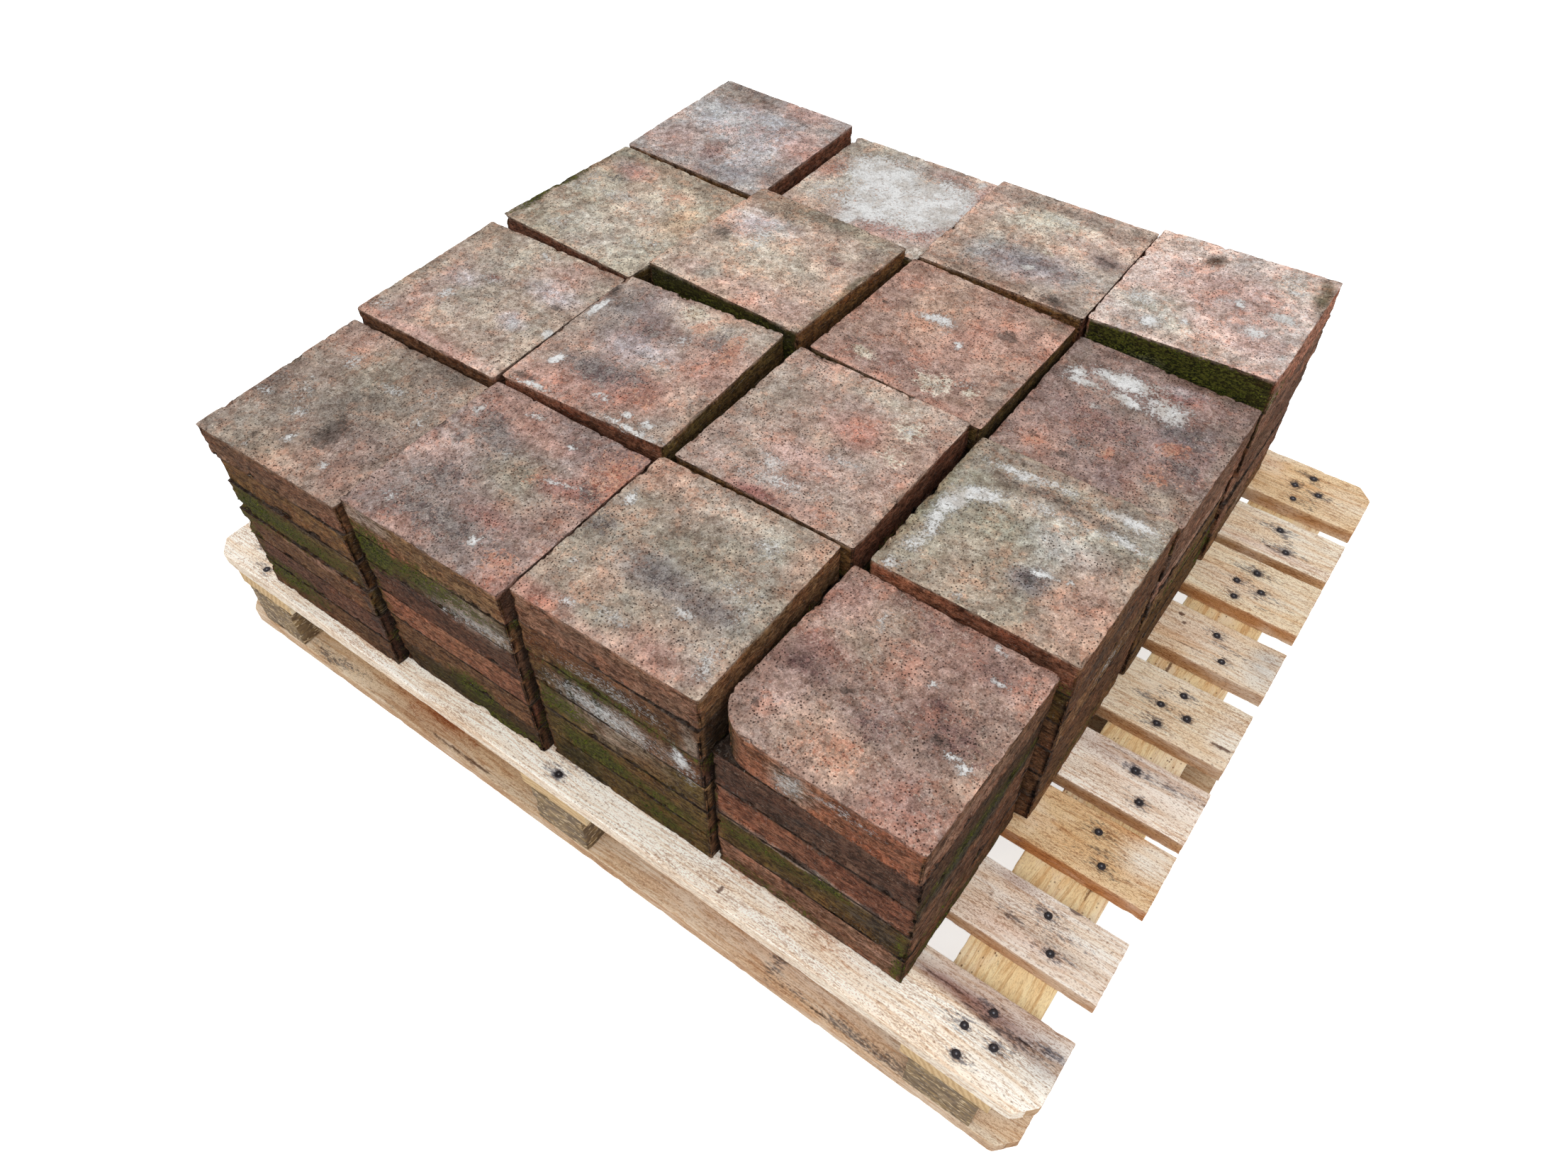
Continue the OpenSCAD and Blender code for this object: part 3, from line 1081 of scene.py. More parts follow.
# %% [markdown]
# ## The tile stack tree
#
# This geometry tree makes one whole stack. It takes one point for each tile, puts the
# right blank on it, and turns and sizes it. After Realize Instances the stack is one
# mesh, and every point can be pushed inwards, along its own normal, by what wear has
# taken: chips out of the edges, layers out of the sides, and shallow hollows in the
# top. Wear only ever takes clay away, so the tiles stay inside their solids. The tree
# also stores the place that the clay material reads, shifted for each tile so that no
# two tiles have the same marks, and a cloudy drift that the painting further down uses
# to make its patches irregular.

# %% Tile stack tree
def tile_stack_tree():
    """Points to worn tiles."""
    tree, given, result = new_tree(
        "worn tile stack", "GeometryNodeTree",
        [
            ("Geometry", GEOMETRY, None),
            ("Top blank", OBJECT, None),
            ("Under blank", OBJECT, None),
            ("Chip depth", FLOAT, 4.2 * MM),
            ("Layer depth", FLOAT, 1.4 * MM),
            ("Side sway", FLOAT, 1.3 * MM),
            ("Hollow depth", FLOAT, 1.2 * MM),
            ("Pit depth", FLOAT, 0.8 * MM),
            ("Material", MATERIAL, None),
        ],
        [("Geometry", GEOMETRY)],
    )

    is_top = add_node(
        tree, "FunctionNodeCompare", {0: named(tree, "top"), 1: 0.5}, data_type="FLOAT",
        operation="GREATER_THAN",
    ).outputs[0]
    is_under = add_node(tree, "FunctionNodeBooleanMath", {0: is_top}, operation="NOT").outputs[0]
    turn = named(tree, "turn", "FLOAT_VECTOR")
    turn = add_node(tree, "FunctionNodeEulerToRotation", {0: turn}).outputs[0]
    size = named(tree, "size", "FLOAT_VECTOR")
    joined = add_node(tree, "GeometryNodeJoinGeometry")
    for label, chosen in (("Under blank", is_under), ("Top blank", is_top)):
        more = {"Selection": chosen, "Rotation": turn, "Scale": size}
        tree.links.new(copies(tree, given["Geometry"], given[label], **more), joined.inputs[0])
    solid = made_real(tree, joined.outputs[0])

    upright = plus(tree, 1.0, times(tree, named(tree, "side_wear"), 1.3))
    stretch = add_node(tree, "ShaderNodeCombineXYZ", {0: 1.0, 1: 1.0, 2: upright}).outputs[0]
    place = stretched(tree, named(tree, "tile_place", "FLOAT_VECTOR"), stretch)
    place = shifted(tree, place, named(tree, "lot", "FLOAT_VECTOR"))
    drift = vectors(tree, "SUBTRACT", noise(tree, place, 22, 4, 0.6, 0, 1), (0.5, 0.5, 0.5))
    for label, value in (("clay_place", place), ("drift", drift)):
        solid = add_node(
            tree, "GeometryNodeStoreNamedAttribute",
            {"Geometry": solid, "Name": label, "Value": value}, data_type="FLOAT_VECTOR",
            domain="POINT",
        ).outputs[0]

    place = named(tree, "clay_place", "FLOAT_VECTOR")
    edge = named(tree, "edge_wear")
    side = named(tree, "side_wear")
    large_chip = step(tree, noise(tree, place, 30, 4, 0.6), 0.58, 0.66)
    small_chip = step(tree, noise(tree, place, 85, 3, 0.6), 0.54, 0.64)
    chips = plus(tree, large_chip, times(tree, small_chip, 0.5))
    chips = times(tree, chips, edge, given["Chip depth"])
    flat_place = stretched(tree, place, (1.0, 1.0, 1.1))
    layers = step(tree, noise(tree, flat_place, 48, 5, 0.65), 0.38, 0.66)
    layers = times(tree, layers, side, given["Layer depth"])
    sway = noise(tree, place, 11, 2, 0.5)
    side_sway = times(tree, sway, side, given["Side sway"])
    top_face = minus(tree, 1.0, side)
    hollow = noise(tree, shifted(tree, place, (7.7, 2.2, 0.0)), 10, 3, 0.5)
    hollow = step(tree, hollow, 0.35, 0.75)
    hollow = times(tree, hollow, top_face, given["Hollow depth"])
    pits = step(tree, noise(tree, place, 150, 2, 0.6), 0.58, 0.72)
    pits = times(tree, pits, given["Pit depth"])
    wear = plus(tree, chips, layers, side_sway, hollow, pits)
    return finish_tree(tree, pushed_in(tree, solid, wear), given, result)


stack_tree = tile_stack_tree()
print("the stack tree has", len(stack_tree.nodes), "nodes")

# %% Wear every stack
HIDDEN_STACKS = ("b2", "b3", "c2", "c3")
FAR_STACKS = ("b1", "c1", "d1", "d2", "d3")
BROKEN_STACK = "a4"
blank_size = np.array([TILE_SIDE, TILE_SIDE, TILE_THICKNESS])
lower_blanks = {label: far_blank for label in FAR_STACKS}
lower_blanks.update({label: hidden_blank for label in HIDDEN_STACKS})


def fuller_size(tile, low, high, most=5 * MM, spare=0.2 * MM):
    """The size of a lower tile, grown to the box of its stack to make up for wear."""
    centre, axes, size = tile
    reach = np.abs(axes) @ (size / 2)
    room = np.minimum(centre - reach - np.array(low), np.array(high) - centre - reach)
    room = np.clip(room - spare, 0, most / 2)
    return size + 2 * np.array([room[0], room[1], 0.0])


stack_pieces = {}
for count, (label, tiles) in enumerate(STACKS.items()):
    rng = np.random.default_rng(100 + count)
    centres = [centre for centre, _, _ in tiles]
    turns = [Matrix(axes.tolist()).to_euler() for _, axes, _ in tiles]
    tops = [0.0] * (len(tiles) - 1) + [1.0]
    sizes = [fuller_size(tile, *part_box("tile_stack_" + label)) for tile in tiles[:-1]]
    sizes.append(tiles[-1][2])
    piece = new_mesh_object(
        "tiles_" + label, centres, [],
        [
            ("turn", [tuple(turn) for turn in turns]),
            ("size", [size / blank_size for size in sizes]),
            ("top", tops),
            ("lot", rng.uniform(0, 9, (len(tiles), 3))),
            ("layer", np.arange(len(tiles))),
        ],
    )
    run_nodes(
        piece, stack_tree,
        {
            "Top blank": broken_blank if label == BROKEN_STACK else top_blank,
            "Under blank": lower_blanks.get(label, under_blank),
            "Material": fired_clay,
        },
    )
    stack_pieces[label] = piece
for blank in BLANKS:
    bpy.data.objects.remove(blank)
print("tiles:", sum(triangle_count(piece) for piece in stack_pieces.values()), "triangles")

# %% [markdown]
# ## Painting the tiles
#
# Every tile has its own story: this one lay in a mortar bed, that one by a hearth.
# Such marks are large and have a known place, so they are painted on the points of
# the mesh, as if with a wide soft brush. A mark is a soft oval, given by its
# centre, its two half lengths and its strength, and by its turn in degrees where it
# has one. Ovals of one kind are listed together, after the name of the kind. Places
# are in millimetres from the middle of the tile, to the right and to the back. The
# cloudy drift from the stack tree bends the ovals, and the material tears their edges.

# %% Brushes
PALETTE = {
    "brown": (138, 112, 96),
    "dark brown": (104, 84, 72),
    "olive": (140, 128, 102),
    "dark olive": (96, 86, 64),
    "olive grey": (150, 140, 124),
    "grey brown": (140, 124, 114),
    "grey": (168, 160, 150),
    "blue grey": (164, 160, 164),
    "slate wash": (120, 116, 122),
    "plum wash": (126, 98, 94),
    "mauve": (150, 128, 124),
    "lilac": (208, 200, 204),
    "pink": (204, 166, 156),
    "red": (160, 112, 104),
    "red brown": (144, 108, 96),
    "salmon": (186, 140, 126),
    "peach": (206, 172, 152),
    "ochre": (196, 162, 130),
    "cream": (220, 206, 190),
    "khaki": (172, 155, 138),
}
SIDE_PALETTE = {
    "brown": (98, 70, 48),
    "dark brown": (72, 52, 36),
    "umber": (76, 55, 44),
    "olive": (84, 68, 36),
    "dark olive": (48, 46, 18),
    "mauve": (106, 78, 60),
    "ochre": (104, 76, 44),
    "khaki": (118, 90, 62),
    "purple brown": (86, 60, 46),
    "red brown": (112, 74, 56),
    "terracotta": (134, 92, 70),
    "dusty": (150, 120, 104),
    "worn mauve": (122, 92, 74),
    "lavender": (150, 138, 128),
    "lilac": (158, 146, 138),
    "pink": (158, 114, 94),
}
HUES = ("slate", "plum", "chalk", "orange")
COVERS = ("lime", "moss", "soot", "flake")
BODY_TINGE = np.array((1.52, 1.60, 1.62))
SKIN_TINGE = np.array((1.46, 1.66, 1.80))
SIDE_BODY_TINGE = 1.95
SIDE_SKIN_TINGE = 1.6


def oval(across, along, mark):
    """How strongly an oval mark covers each point."""
    mark_across, mark_along, half_across, half_along, strength, *turn = mark
    angle = math.radians(*turn) if turn else 0.0
    x = (across - mark_across) * math.cos(angle) + (along - mark_along) * math.sin(angle)
    y = (along - mark_along) * math.cos(angle) - (across - mark_across) * math.sin(angle)
    reach = np.sqrt((x / half_across) ** 2 + (y / half_along) ** 2)
    return strength * np.clip(1.4 - reach, 0, 1)


def linear(rgb):
    """A colour written in 0 to 255, as three linear numbers."""
    return np.array(colour(*rgb))[:3]


def lay_paint(rows, paint, amount):
    """Moves the colours in rows towards the paint."""
    rows[:, :3] += (paint - rows[:, :3]) * amount[:, None]


def raise_amount(rows, channel, amount):
    """Raises one column of amounts to at least the given amount."""
    rows[:, channel] = np.maximum(rows[:, channel], amount)


def brush(coats, where, across, along, marks, palette):
    """Paints marks on the coats of a stack, weighted by where.

    Covers and kiln hues only raise their own amounts. All other colours are washes:
    they dye the body of the clay and its skin alike.
    """
    tint, skin, hues, cover = coats
    for kind, *ovals in marks:
        for mark in ovals:
            amount = oval(across, along, mark) * where
            if kind in COVERS:
                raise_amount(cover, COVERS.index(kind), amount)
            elif kind in HUES:
                raise_amount(hues, HUES.index(kind), amount)
            else:
                wash = np.clip(amount, 0, 1)
                lay_paint(tint, linear(palette[kind]) * palette["body"], wash)
                lay_paint(skin, linear(palette[kind]) * palette["skin"], wash)


PALETTE.update(body=BODY_TINGE, skin=SKIN_TINGE)
SIDE_PALETTE.update(body=SIDE_BODY_TINGE, skin=SIDE_SKIN_TINGE)
print(len(PALETTE), "colours,", len(HUES), "hues and", len(COVERS), "covers")

# %% [markdown]
# The sixteen tiles that lie uppermost, from the front row a to the back row d. The
# first entry is the colour of the clay, then come the marks. A dark band along the
# back edge of c4, and in part of b4, is painted shadow from the stack behind.

# %% Marks on the top tiles
TOPS = {
    "a1": ((160, 141, 129), [
        ("salmon", (-74, 84, 34, 28, 0.3)), ("khaki", (-8, 58, 44, 44, 0.6)),
        ("grey brown", (20, 14, 44, 34, 0.5)), ("salmon", (24, -86, 22, 22, 0.3)),
        ("red brown", (84, -78, 26, 34, 0.5)), ("cream", (-76, -62, 34, 26, 0.35)),
        ("dark brown", (-98, 0, 18, 34, 0.25)), ("khaki", (-20, -90, 60, 26, 0.4)),
        ("dark brown", (50, 100, 60, 14, 0.2)), ("mauve", (60, -30, 40, 34, 0.4)),
        ("soot", (21, -38, 17, 28, 0.95, 8), (14, 8, 20, 22, 0.36), (-42, -86, 6, 5, 1.0)),
        ("slate", (-100, -10, 12, 26, 0.3)), ("lime", (-51, 58, 12, 11, 0.7), (24, 51, 17, 8, 0.6),
         (-8, -69, 6, 6, 0.9), (-96, -29, 12, 6, 0.7), (-38, -34, 12, 8, 0.6), (59, -79, 6, 5, 0.8),
         (-43, -101, 5, 5, 0.8), (89, 21, 6, 20, 0.5), (-60, -8, 12, 20, 0.45, 20),
         (70, 60, 8, 18, 0.45)),
    ]),
    "a2": ((162, 140, 133), [
        ("salmon", (-58, 91, 48, 26, 0.7), (97, 62, 30, 48, 0.8)),
        ("olive grey", (20, 8, 46, 42, 0.75)), ("salmon", (-8, 70, 42, 16, 0.7)),
        ("red", (66, 27, 30, 14, 0.7)), ("pink", (-88, 0, 34, 30, 0.6)),
        ("red", (26, -44, 34, 20, 0.6)), ("mauve", (60, 96, 40, 20, 0.5)),
        ("salmon", (98, -99, 24, 20, 0.8), (-26, -98, 34, 16, 0.7)),
        ("mauve", (-20, -20, 50, 30, 0.4)), ("brown", (90, -20, 26, 40, 0.4)),
        ("slate", (-50, 50, 42, 20, 0.62, -32), (-81, 23, 8, 10, 0.9), (-50, -34, 36, 28, 0.58, 20),
         (-12, -76, 72, 22, 0.66), (92, 42, 18, 18, 0.75), (76, 76, 12, 14, 0.5)),
        ("orange", (97, 66, 28, 44, 0.66, 10), (86, -79, 24, 14, 0.6), (40, 24, 24, 8, 0.5, 20)),
        ("lime", (-96, 68, 5, 9, 0.9), (-36, 93, 10, 5, 0.9), (26, 83, 4, 4, 1.0),
         (62, 31, 22, 4, 0.8, 8), (46, -77, 6, 6, 0.9), (-20, 37, 8, 5, 0.6),
         (-76, -80, 12, 8, 0.5)),
    ]),
    "a3": ((170, 154, 140), [
        ("peach", (-91, 91, 30, 26, 0.8)), ("cream", (-6, 88, 60, 16, 0.5)),
        ("olive grey", (-16, 26, 54, 34, 0.5)), ("slate wash", (-8, -19, 44, 22, 0.5),
         (62, -26, 40, 20, 0.45)), ("peach", (-51, -64, 22, 26, 0.7), (99, 70, 18, 34, 0.7)),
        ("salmon", (-86, -105, 40, 18, 0.9), (54, -96, 44, 24, 0.8), (-20, -110, 40, 10, 0.5)),
        ("grey", (80, -70, 30, 40, 0.5)), ("olive grey", (-76, 56, 18, 14, 0.5)),
        ("cream", (54, 71, 24, 20, 0.6)), ("slate", (-101, 1, 16, 18, 0.6),
         (6, -22, 34, 14, 0.56, -14), (64, -26, 34, 12, 0.52, 10)), ("lime", (54, 70, 14, 12, 0.55),
         (-96, 51, 7, 9, 0.9), (41, -44, 9, 9, 0.85, 20), (-86, -51, 5, 5, 0.9),
         (-56, -94, 9, 6, 0.7), (94, -72, 9, 26, 0.6), (-11, -84, 18, 7, 0.5),
         (64, 8, 20, 12, 0.42), (86, 0, 8, 20, 0.5)),
    ]),
    "a4": ((168, 138, 126), [
        ("brown", (-92, 98, 30, 22, 0.4)), ("khaki", (-53, 31, 34, 26, 0.7),
         (-40, 76, 30, 20, 0.5)), ("plum wash", (66, -2, 46, 28, 0.5, -10), (60, 84, 34, 20, 0.5),
         (-78, -14, 34, 20, 0.6)), ("slate wash", (4, -34, 28, 26, 0.3)),
        ("peach", (-6, -76, 46, 28, 0.75)), ("red", (-70, 12, 34, 16, 0.5)),
        ("peach", (100, -34, 18, 44, 0.5)), ("pink", (-90, 70, 24, 40, 0.5), (70, -80, 40, 26, 0.4),
         (-80, -60, 30, 26, 0.5)), ("plum", (44, 20, 12, 13, 0.75), (74, -6, 34, 18, 0.68, -14),
         (-11, 88, 18, 9, 0.6), (62, 82, 20, 14, 0.5), (4, -36, 20, 22, 0.36),
         (-78, -14, 26, 12, 0.52)), ("orange", (-6, -78, 34, 20, 0.55)),
        ("soot", (59, -14, 9, 6, 0.9), (-88, -77, 5, 5, 1.2), (-36, -15, 5, 6, 0.8)),
        ("lime", (26, 38, 5, 4, 1.2), (77, -24, 9, 5, 0.9, 20), (90, -27, 8, 4, 0.9),
         (72, 78, 12, 5, 0.7), (54, 104, 5, 4, 0.9), (-50, 70, 4, 14, 0.6, 10)),
    ]),
    "b1": ((182, 164, 150), [
        ("brown", (-92, 92, 30, 26, 0.6)), ("red brown", (84, 102, 44, 12, 0.55)),
        ("brown", (-108, 0, 10, 110, 0.4)), ("pink", (46, 78, 50, 22, 0.55)),
        ("grey", (-43, 53, 34, 24, 0.6)), ("lilac", (64, 41, 40, 20, 0.6)),
        ("pink", (-71, -49, 28, 54, 0.5)), ("red brown", (0, -98, 110, 18, 0.3)),
        ("lilac", (-56, 6, 26, 16, 0.5), (59, -27, 20, 12, 0.6)), ("pink", (0, -106, 110, 10, 0.6)),
        ("mauve", (-75, -6, 14, 40, 0.4)), ("red brown", (-21, 24, 10, 6, 1.2)),
        ("soot", (84, 23, 11, 6, 0.9)), ("lime", (-1, 93, 11, 5, 1.1, -10),
         (-43, -32, 9, 16, 0.75, 10), (-93, -89, 14, 7, 0.6), (107, -22, 7, 7, 1.3),
         (-20, 20, 16, 8, 0.4), (60, -30, 10, 8, 0.5)),
    ]),
    "b2": ((178, 154, 142), [
        ("slate wash", (-48, 58, 60, 56, 0.5)), ("cream", (40, 90, 70, 26, 0.65)),
        ("slate wash", (59, 60, 24, 36, 0.25)), ("lilac", (-14, 4, 50, 26, 0.55)),
        ("slate wash", (-14, -49, 56, 24, 0.6)), ("salmon", (40, -62, 42, 32, 0.85),
         (-40, -88, 70, 24, 0.6), (80, 10, 34, 40, 0.45)), ("peach", (64, 106, 30, 12, 0.6)),
        ("brown", (109, -70, 10, 40, 0.7)), ("chalk", (2, 96, 13, 18, 0.8, 20)),
        ("slate", (-14, -49, 58, 22, 0.68, -4), (-76, 76, 24, 24, 0.5), (-22, 40, 14, 12, 0.5),
         (60, 60, 16, 36, 0.5)), ("orange", (27, 76, 11, 18, 0.85), (29, -2, 9, 8, 0.8),
         (80, 58, 14, 28, 0.8), (44, -66, 26, 16, 0.5)), ("soot", (-108, 78, 8, 16, 0.8),
         (-91, -100, 16, 6, 0.8)), ("lime", (-101, 43, 7, 22, 1.2), (-81, -59, 7, 9, 1.2),
         (49, -93, 5, 6, 1.3), (74, -92, 7, 6, 1.1), (-72, -110, 26, 4, 1.1),
         (66, -108, 46, 5, 0.9), (4, -84, 12, 5, 0.7), (22, 42, 12, 10, 0.5)),
    ]),
    "b3": ((192, 168, 156), [
        ("khaki", (-61, 31, 54, 44, 0.45), (4, 92, 60, 18, 0.5)), ("salmon", (26, 30, 42, 26, 0.9),
         (94, 0, 26, 90, 0.5)), ("peach", (74, 40, 26, 30, 0.4)), ("khaki", (-1, -4, 28, 16, 0.5)),
        ("salmon", (46, -100, 40, 16, 0.6)), ("brown", (92, -92, 24, 22, 0.4)),
        ("plum wash", (-14, -106, 34, 8, 0.6)), ("brown", (112, 0, 6, 110, 0.6)),
        ("grey brown", (-66, -59, 28, 18, 0.6)), ("pink", (0, -40, 50, 20, 0.5)),
        ("red", (-14, -105, 32, 8, 0.9)), ("cream", (4, 88, 44, 10, 0.5)),
        ("chalk", (69, 61, 20, 15, 0.75), (74, 16, 14, 12, 0.7)),
        ("lime", (-8, -84, 40, 9, 0.62, 4), (-26, -64, 15, 11, 0.62), (69, 61, 10, 8, 0.55),
         (40, -20, 26, 5, 0.45, 10)), ("soot", (52, 40, 5, 3, 0.8)),
    ]),
    "b4": ((170, 158, 142), [
        ("cream", (84, 84, 30, 30, 0.5), (-20, 34, 40, 24, 0.5)),
        ("olive grey", (-34, 0, 50, 40, 0.5)), ("grey brown", (4, 68, 110, 9, 0.8, 2)),
        ("lilac", (34, 14, 42, 28, 0.4)), ("salmon", (84, -45, 42, 76, 0.65)),
        ("peach", (90, -90, 30, 34, 0.5)), ("khaki", (-38, -82, 66, 40, 0.5)),
        ("slate wash", (26, -44, 22, 22, 0.8)), ("olive", (-110, 0, 7, 110, 0.7)),
        # The grey brown band along the back edge is partly the tile's own colour and partly painted
        # shadow from c4 behind.
        ("grey brown", (0, 104, 112, 10, 0.7)), ("olive grey", (-60, 56, 30, 14, 0.6)),
        ("cream", (30, 52, 84, 12, 0.7, 6)), ("slate", (26, -44, 18, 17, 0.62)),
        ("soot", (28, -46, 9, 6, 0.7, -30), (4, 72, 108, 4, 0.55, 2)),
        ("lime", (-43, 84, 54, 8, 0.8, 2), (72, 88, 40, 8, 0.8), (-71, 30, 28, 12, 1.0, 20),
         (-86, 6, 15, 26, 1.0, -8), (-89, -34, 9, 34, 0.8), (-91, -66, 10, 14, 0.8),
         (-94, -104, 9, 12, 0.8), (30, 54, 80, 7, 0.55, 6), (84, 60, 26, 8, 0.85, -16),
         (34, -29, 14, 4, 1.0), (59, -29, 6, 4, 1.0), (-21, -104, 6, 4, 0.8)),
    ]),
    "c1": ((192, 176, 158), [
        ("olive grey", (-86, 86, 32, 24, 0.7)), ("pink", (-58, 72, 36, 18, 0.9)),
        ("peach", (36, 56, 24, 18, 1.1)), ("brown", (20, 96, 100, 20, 0.5)),
        ("cream", (-16, 1, 84, 30, 0.7, 4)), ("olive grey", (-51, -16, 42, 22, 0.6)),
        ("ochre", (76, 2, 30, 42, 0.6)), ("grey", (-16, -61, 64, 30, 0.85)),
        ("mauve", (16, -88, 34, 14, 0.5, 30)), ("khaki", (-80, -80, 34, 30, 0.5)),
        ("dark olive", (-110, -10, 7, 110, 0.9)), ("cream", (50, -58, 70, 60, 0.6),
         (30, 40, 44, 30, 0.6)), ("chalk", (66, -54, 26, 16, 0.75)),
        ("orange", (36, 56, 18, 13, 0.6)), ("slate", (-56, 42, 17, 17, 0.6),
         (-76, 78, 16, 12, 0.45)), ("lime", (-43, -82, 14, 12, 0.55), (-10, 14, 46, 10, 0.42, 6),
         (66, -54, 16, 8, 0.5), (-84, 14, 14, 26, 0.45), (82, -43, 8, 6, 0.6)),
        ("moss", (-110, -30, 7, 70, 0.7)),
    ]),
    "c2": ((200, 176, 160), [
        ("olive grey", (4, 100, 112, 18, 0.95), (-51, 74, 30, 16, 0.7)),
        ("lilac", (-56, 42, 42, 30, 0.8)), ("brown", (-86, 90, 44, 30, 0.55)),
        ("grey brown", (98, 60, 18, 50, 0.6)), ("salmon", (10, -96, 100, 18, 0.4)),
        ("peach", (29, -39, 40, 26, 0.8)), ("pink", (50, -80, 52, 28, 0.6),
         (-66, -84, 28, 18, 0.5)), ("grey", (-43, -82, 18, 18, 0.7)),
        ("dark olive", (111, -20, 6, 110, 0.8)), ("cream", (4, -14, 60, 36, 0.5),
         (-38, 14, 18, 36, 0.6)), ("soot", (-86, -2, 15, 12, 0.6), (0, 110, 110, 6, 0.5)),
        ("plum", (61, 26, 12, 12, 0.75)), ("lime", (-38, 14, 12, 30, 0.58),
         (-54, 44, 20, 12, 0.5, 20)),
    ]),
    "c3": ((184, 150, 136), [
        ("salmon", (-4, 50, 66, 44, 0.5)), ("peach", (-30, 40, 36, 74, 0.8)),
        ("brown", (-98, 98, 24, 20, 0.4)), ("dark brown", (96, 96, 34, 24, 0.4)),
        ("mauve", (-4, -76, 100, 30, 0.35)), ("grey brown", (104, -50, 10, 66, 0.7)),
        ("khaki", (84, 98, 30, 12, 0.6)), ("brown", (66, -89, 18, 12, 0.6)),
        ("soot", (84, 71, 11, 14, 0.7), (59, 46, 13, 9, 0.9, 20), (-96, 11, 8, 6, 0.8),
         (-76, -74, 16, 12, 0.42)), ("chalk", (34, -79, 22, 17, 0.8), (-61, -84, 17, 12, 0.75),
         (74, -69, 14, 9, 0.75)), ("lime", (-23, 21, 24, 10, 1.15, 10), (19, -6, 7, 7, 1.1),
         (0, 4, 8, 5, 0.6), (60, -60, 12, 8, 0.5), (34, -79, 10, 8, 0.5)),
    ]),
    "c4": ((158, 132, 124), [
        # The dark brown band along the back edge is painted shadow, cast by the higher stack d4 behind.
        ("grey brown", (-96, 66, 20, 28, 0.6)), ("dark brown", (50, 104, 64, 12, 0.7)),
        ("red", (29, 81, 26, 16, 0.7)), ("grey brown", (-4, 20, 90, 14, 0.7)),
        ("mauve", (-38, -6, 62, 32, 0.6)), ("slate wash", (60, 16, 40, 30, 0.5)),
        ("salmon", (-60, -84, 30, 24, 0.5)), ("khaki", (84, -88, 36, 26, 0.5)),
        ("grey brown", (108, 0, 8, 110, 0.7)), ("mauve", (20, -84, 40, 22, 0.6)),
        ("lilac", (34, 88, 30, 10, 0.5)), ("slate", (44, 18, 22, 15, 0.6), (74, -29, 20, 15, 0.85),
         (14, -24, 30, 24, 0.5), (-31, -59, 16, 12, 0.6)), ("orange", (61, -9, 18, 13, 0.85),
         (1, -56, 8, 14, 0.9), (64, -54, 20, 12, 0.6), (-68, -81, 14, 11, 0.8)),
        ("soot", (-36, -86, 8, 6, 1.1), (-73, -74, 10, 4, 1.0)), ("plum", (-30, -20, 50, 26, 0.42)),
        ("lime", (-31, 64, 44, 19, 1.0, 6), (-81, 49, 19, 11, 0.95), (-70, 35, 26, 6, 1.0),
         (-16, 36, 24, 7, 0.95), (27, 48, 28, 20, 0.95, -20), (34, 86, 26, 8, 0.45),
         (-43, 6, 6, 6, 0.8), (2, 78, 14, 8, 0.6)),
    ]),
    "d1": ((182, 168, 164), [
        ("grey brown", (-66, 86, 48, 30, 0.8)), ("red brown", (-28, 73, 14, 22, 0.8)),
        ("pink", (36, 92, 44, 22, 0.9)), ("lilac", (-14, 26, 84, 44, 0.95)),
        ("pink", (92, 20, 28, 44, 0.9), (-71, -64, 36, 32, 0.7)), ("red", (-4, -58, 18, 28, 0.5)),
        ("blue grey", (48, -78, 46, 34, 0.7)), ("grey brown", (0, -111, 112, 6, 0.6)),
        ("red brown", (104, -69, 14, 20, 0.6)), ("lilac", (40, -20, 30, 40, 0.5)),
        ("slate", (-66, 104, 34, 9, 0.7), (24, -98, 34, 7, 0.7, -14)),
        ("soot", (4, -28, 11, 10, 0.8), (56, 70, 6, 5, 0.6)), ("plum", (-6, -56, 14, 24, 0.5)),
        ("lime", (-30, 34, 44, 20, 0.58, 10), (-84, 34, 24, 14, 0.55), (6, 4, 30, 20, 0.42),
         (-14, -22, 12, 10, 0.5), (86, -50, 10, 12, 0.5)),
    ]),
    "d2": ((206, 188, 176), [
        ("khaki", (-66, 66, 48, 46, 0.75)), ("pink", (44, 92, 34, 16, 0.7)),
        ("cream", (-56, 6, 26, 62, 0.6)), ("pink", (44, -74, 58, 22, 0.9)),
        ("red", (94, -44, 20, 26, 0.9)), ("salmon", (-98, 11, 18, 36, 0.8)),
        ("peach", (-78, -72, 40, 22, 0.7)), ("pink", (106, 66, 10, 56, 0.8)),
        ("cream", (-60, -30, 34, 36, 0.6)), ("chalk", (56, -52, 22, 13, 0.8)),
        ("lime", (-26, 42, 60, 44, 1.5), (64, 8, 54, 70, 1.6), (4, -16, 56, 54, 1.5),
         (-14, -74, 18, 28, 1.0), (-62, -32, 32, 32, 0.62), (91, 100, 7, 9, 0.8),
         (-60, 40, 30, 40, 0.5)), ("soot", (-8, 72, 7, 6, 0.8)),
    ]),
    "d3": ((204, 182, 168), [
        ("grey brown", (0, 88, 116, 24, 0.75)), ("cream", (-4, 60, 52, 20, 0.95),
         (-30, 34, 60, 26, 0.7), (-30, -26, 40, 26, 0.8)), ("mauve", (34, 34, 40, 12, 0.4)),
        ("peach", (-16, 4, 58, 20, 0.6)), ("mauve", (84, 10, 26, 18, 0.8)),
        ("blue grey", (2, -50, 92, 36, 0.8)), ("slate wash", (34, -44, 40, 16, 0.25)),
        ("peach", (-94, -41, 22, 66, 0.7)), ("brown", (-20, -102, 80, 14, 0.7)),
        ("grey brown", (76, -96, 44, 20, 0.7)), ("peach", (84, -60, 14, 16, 0.6)),
        ("chalk", (12, -14, 14, 7, 0.8), (-4, 60, 42, 14, 0.75)), ("soot", (69, -104, 16, 8, 0.8),
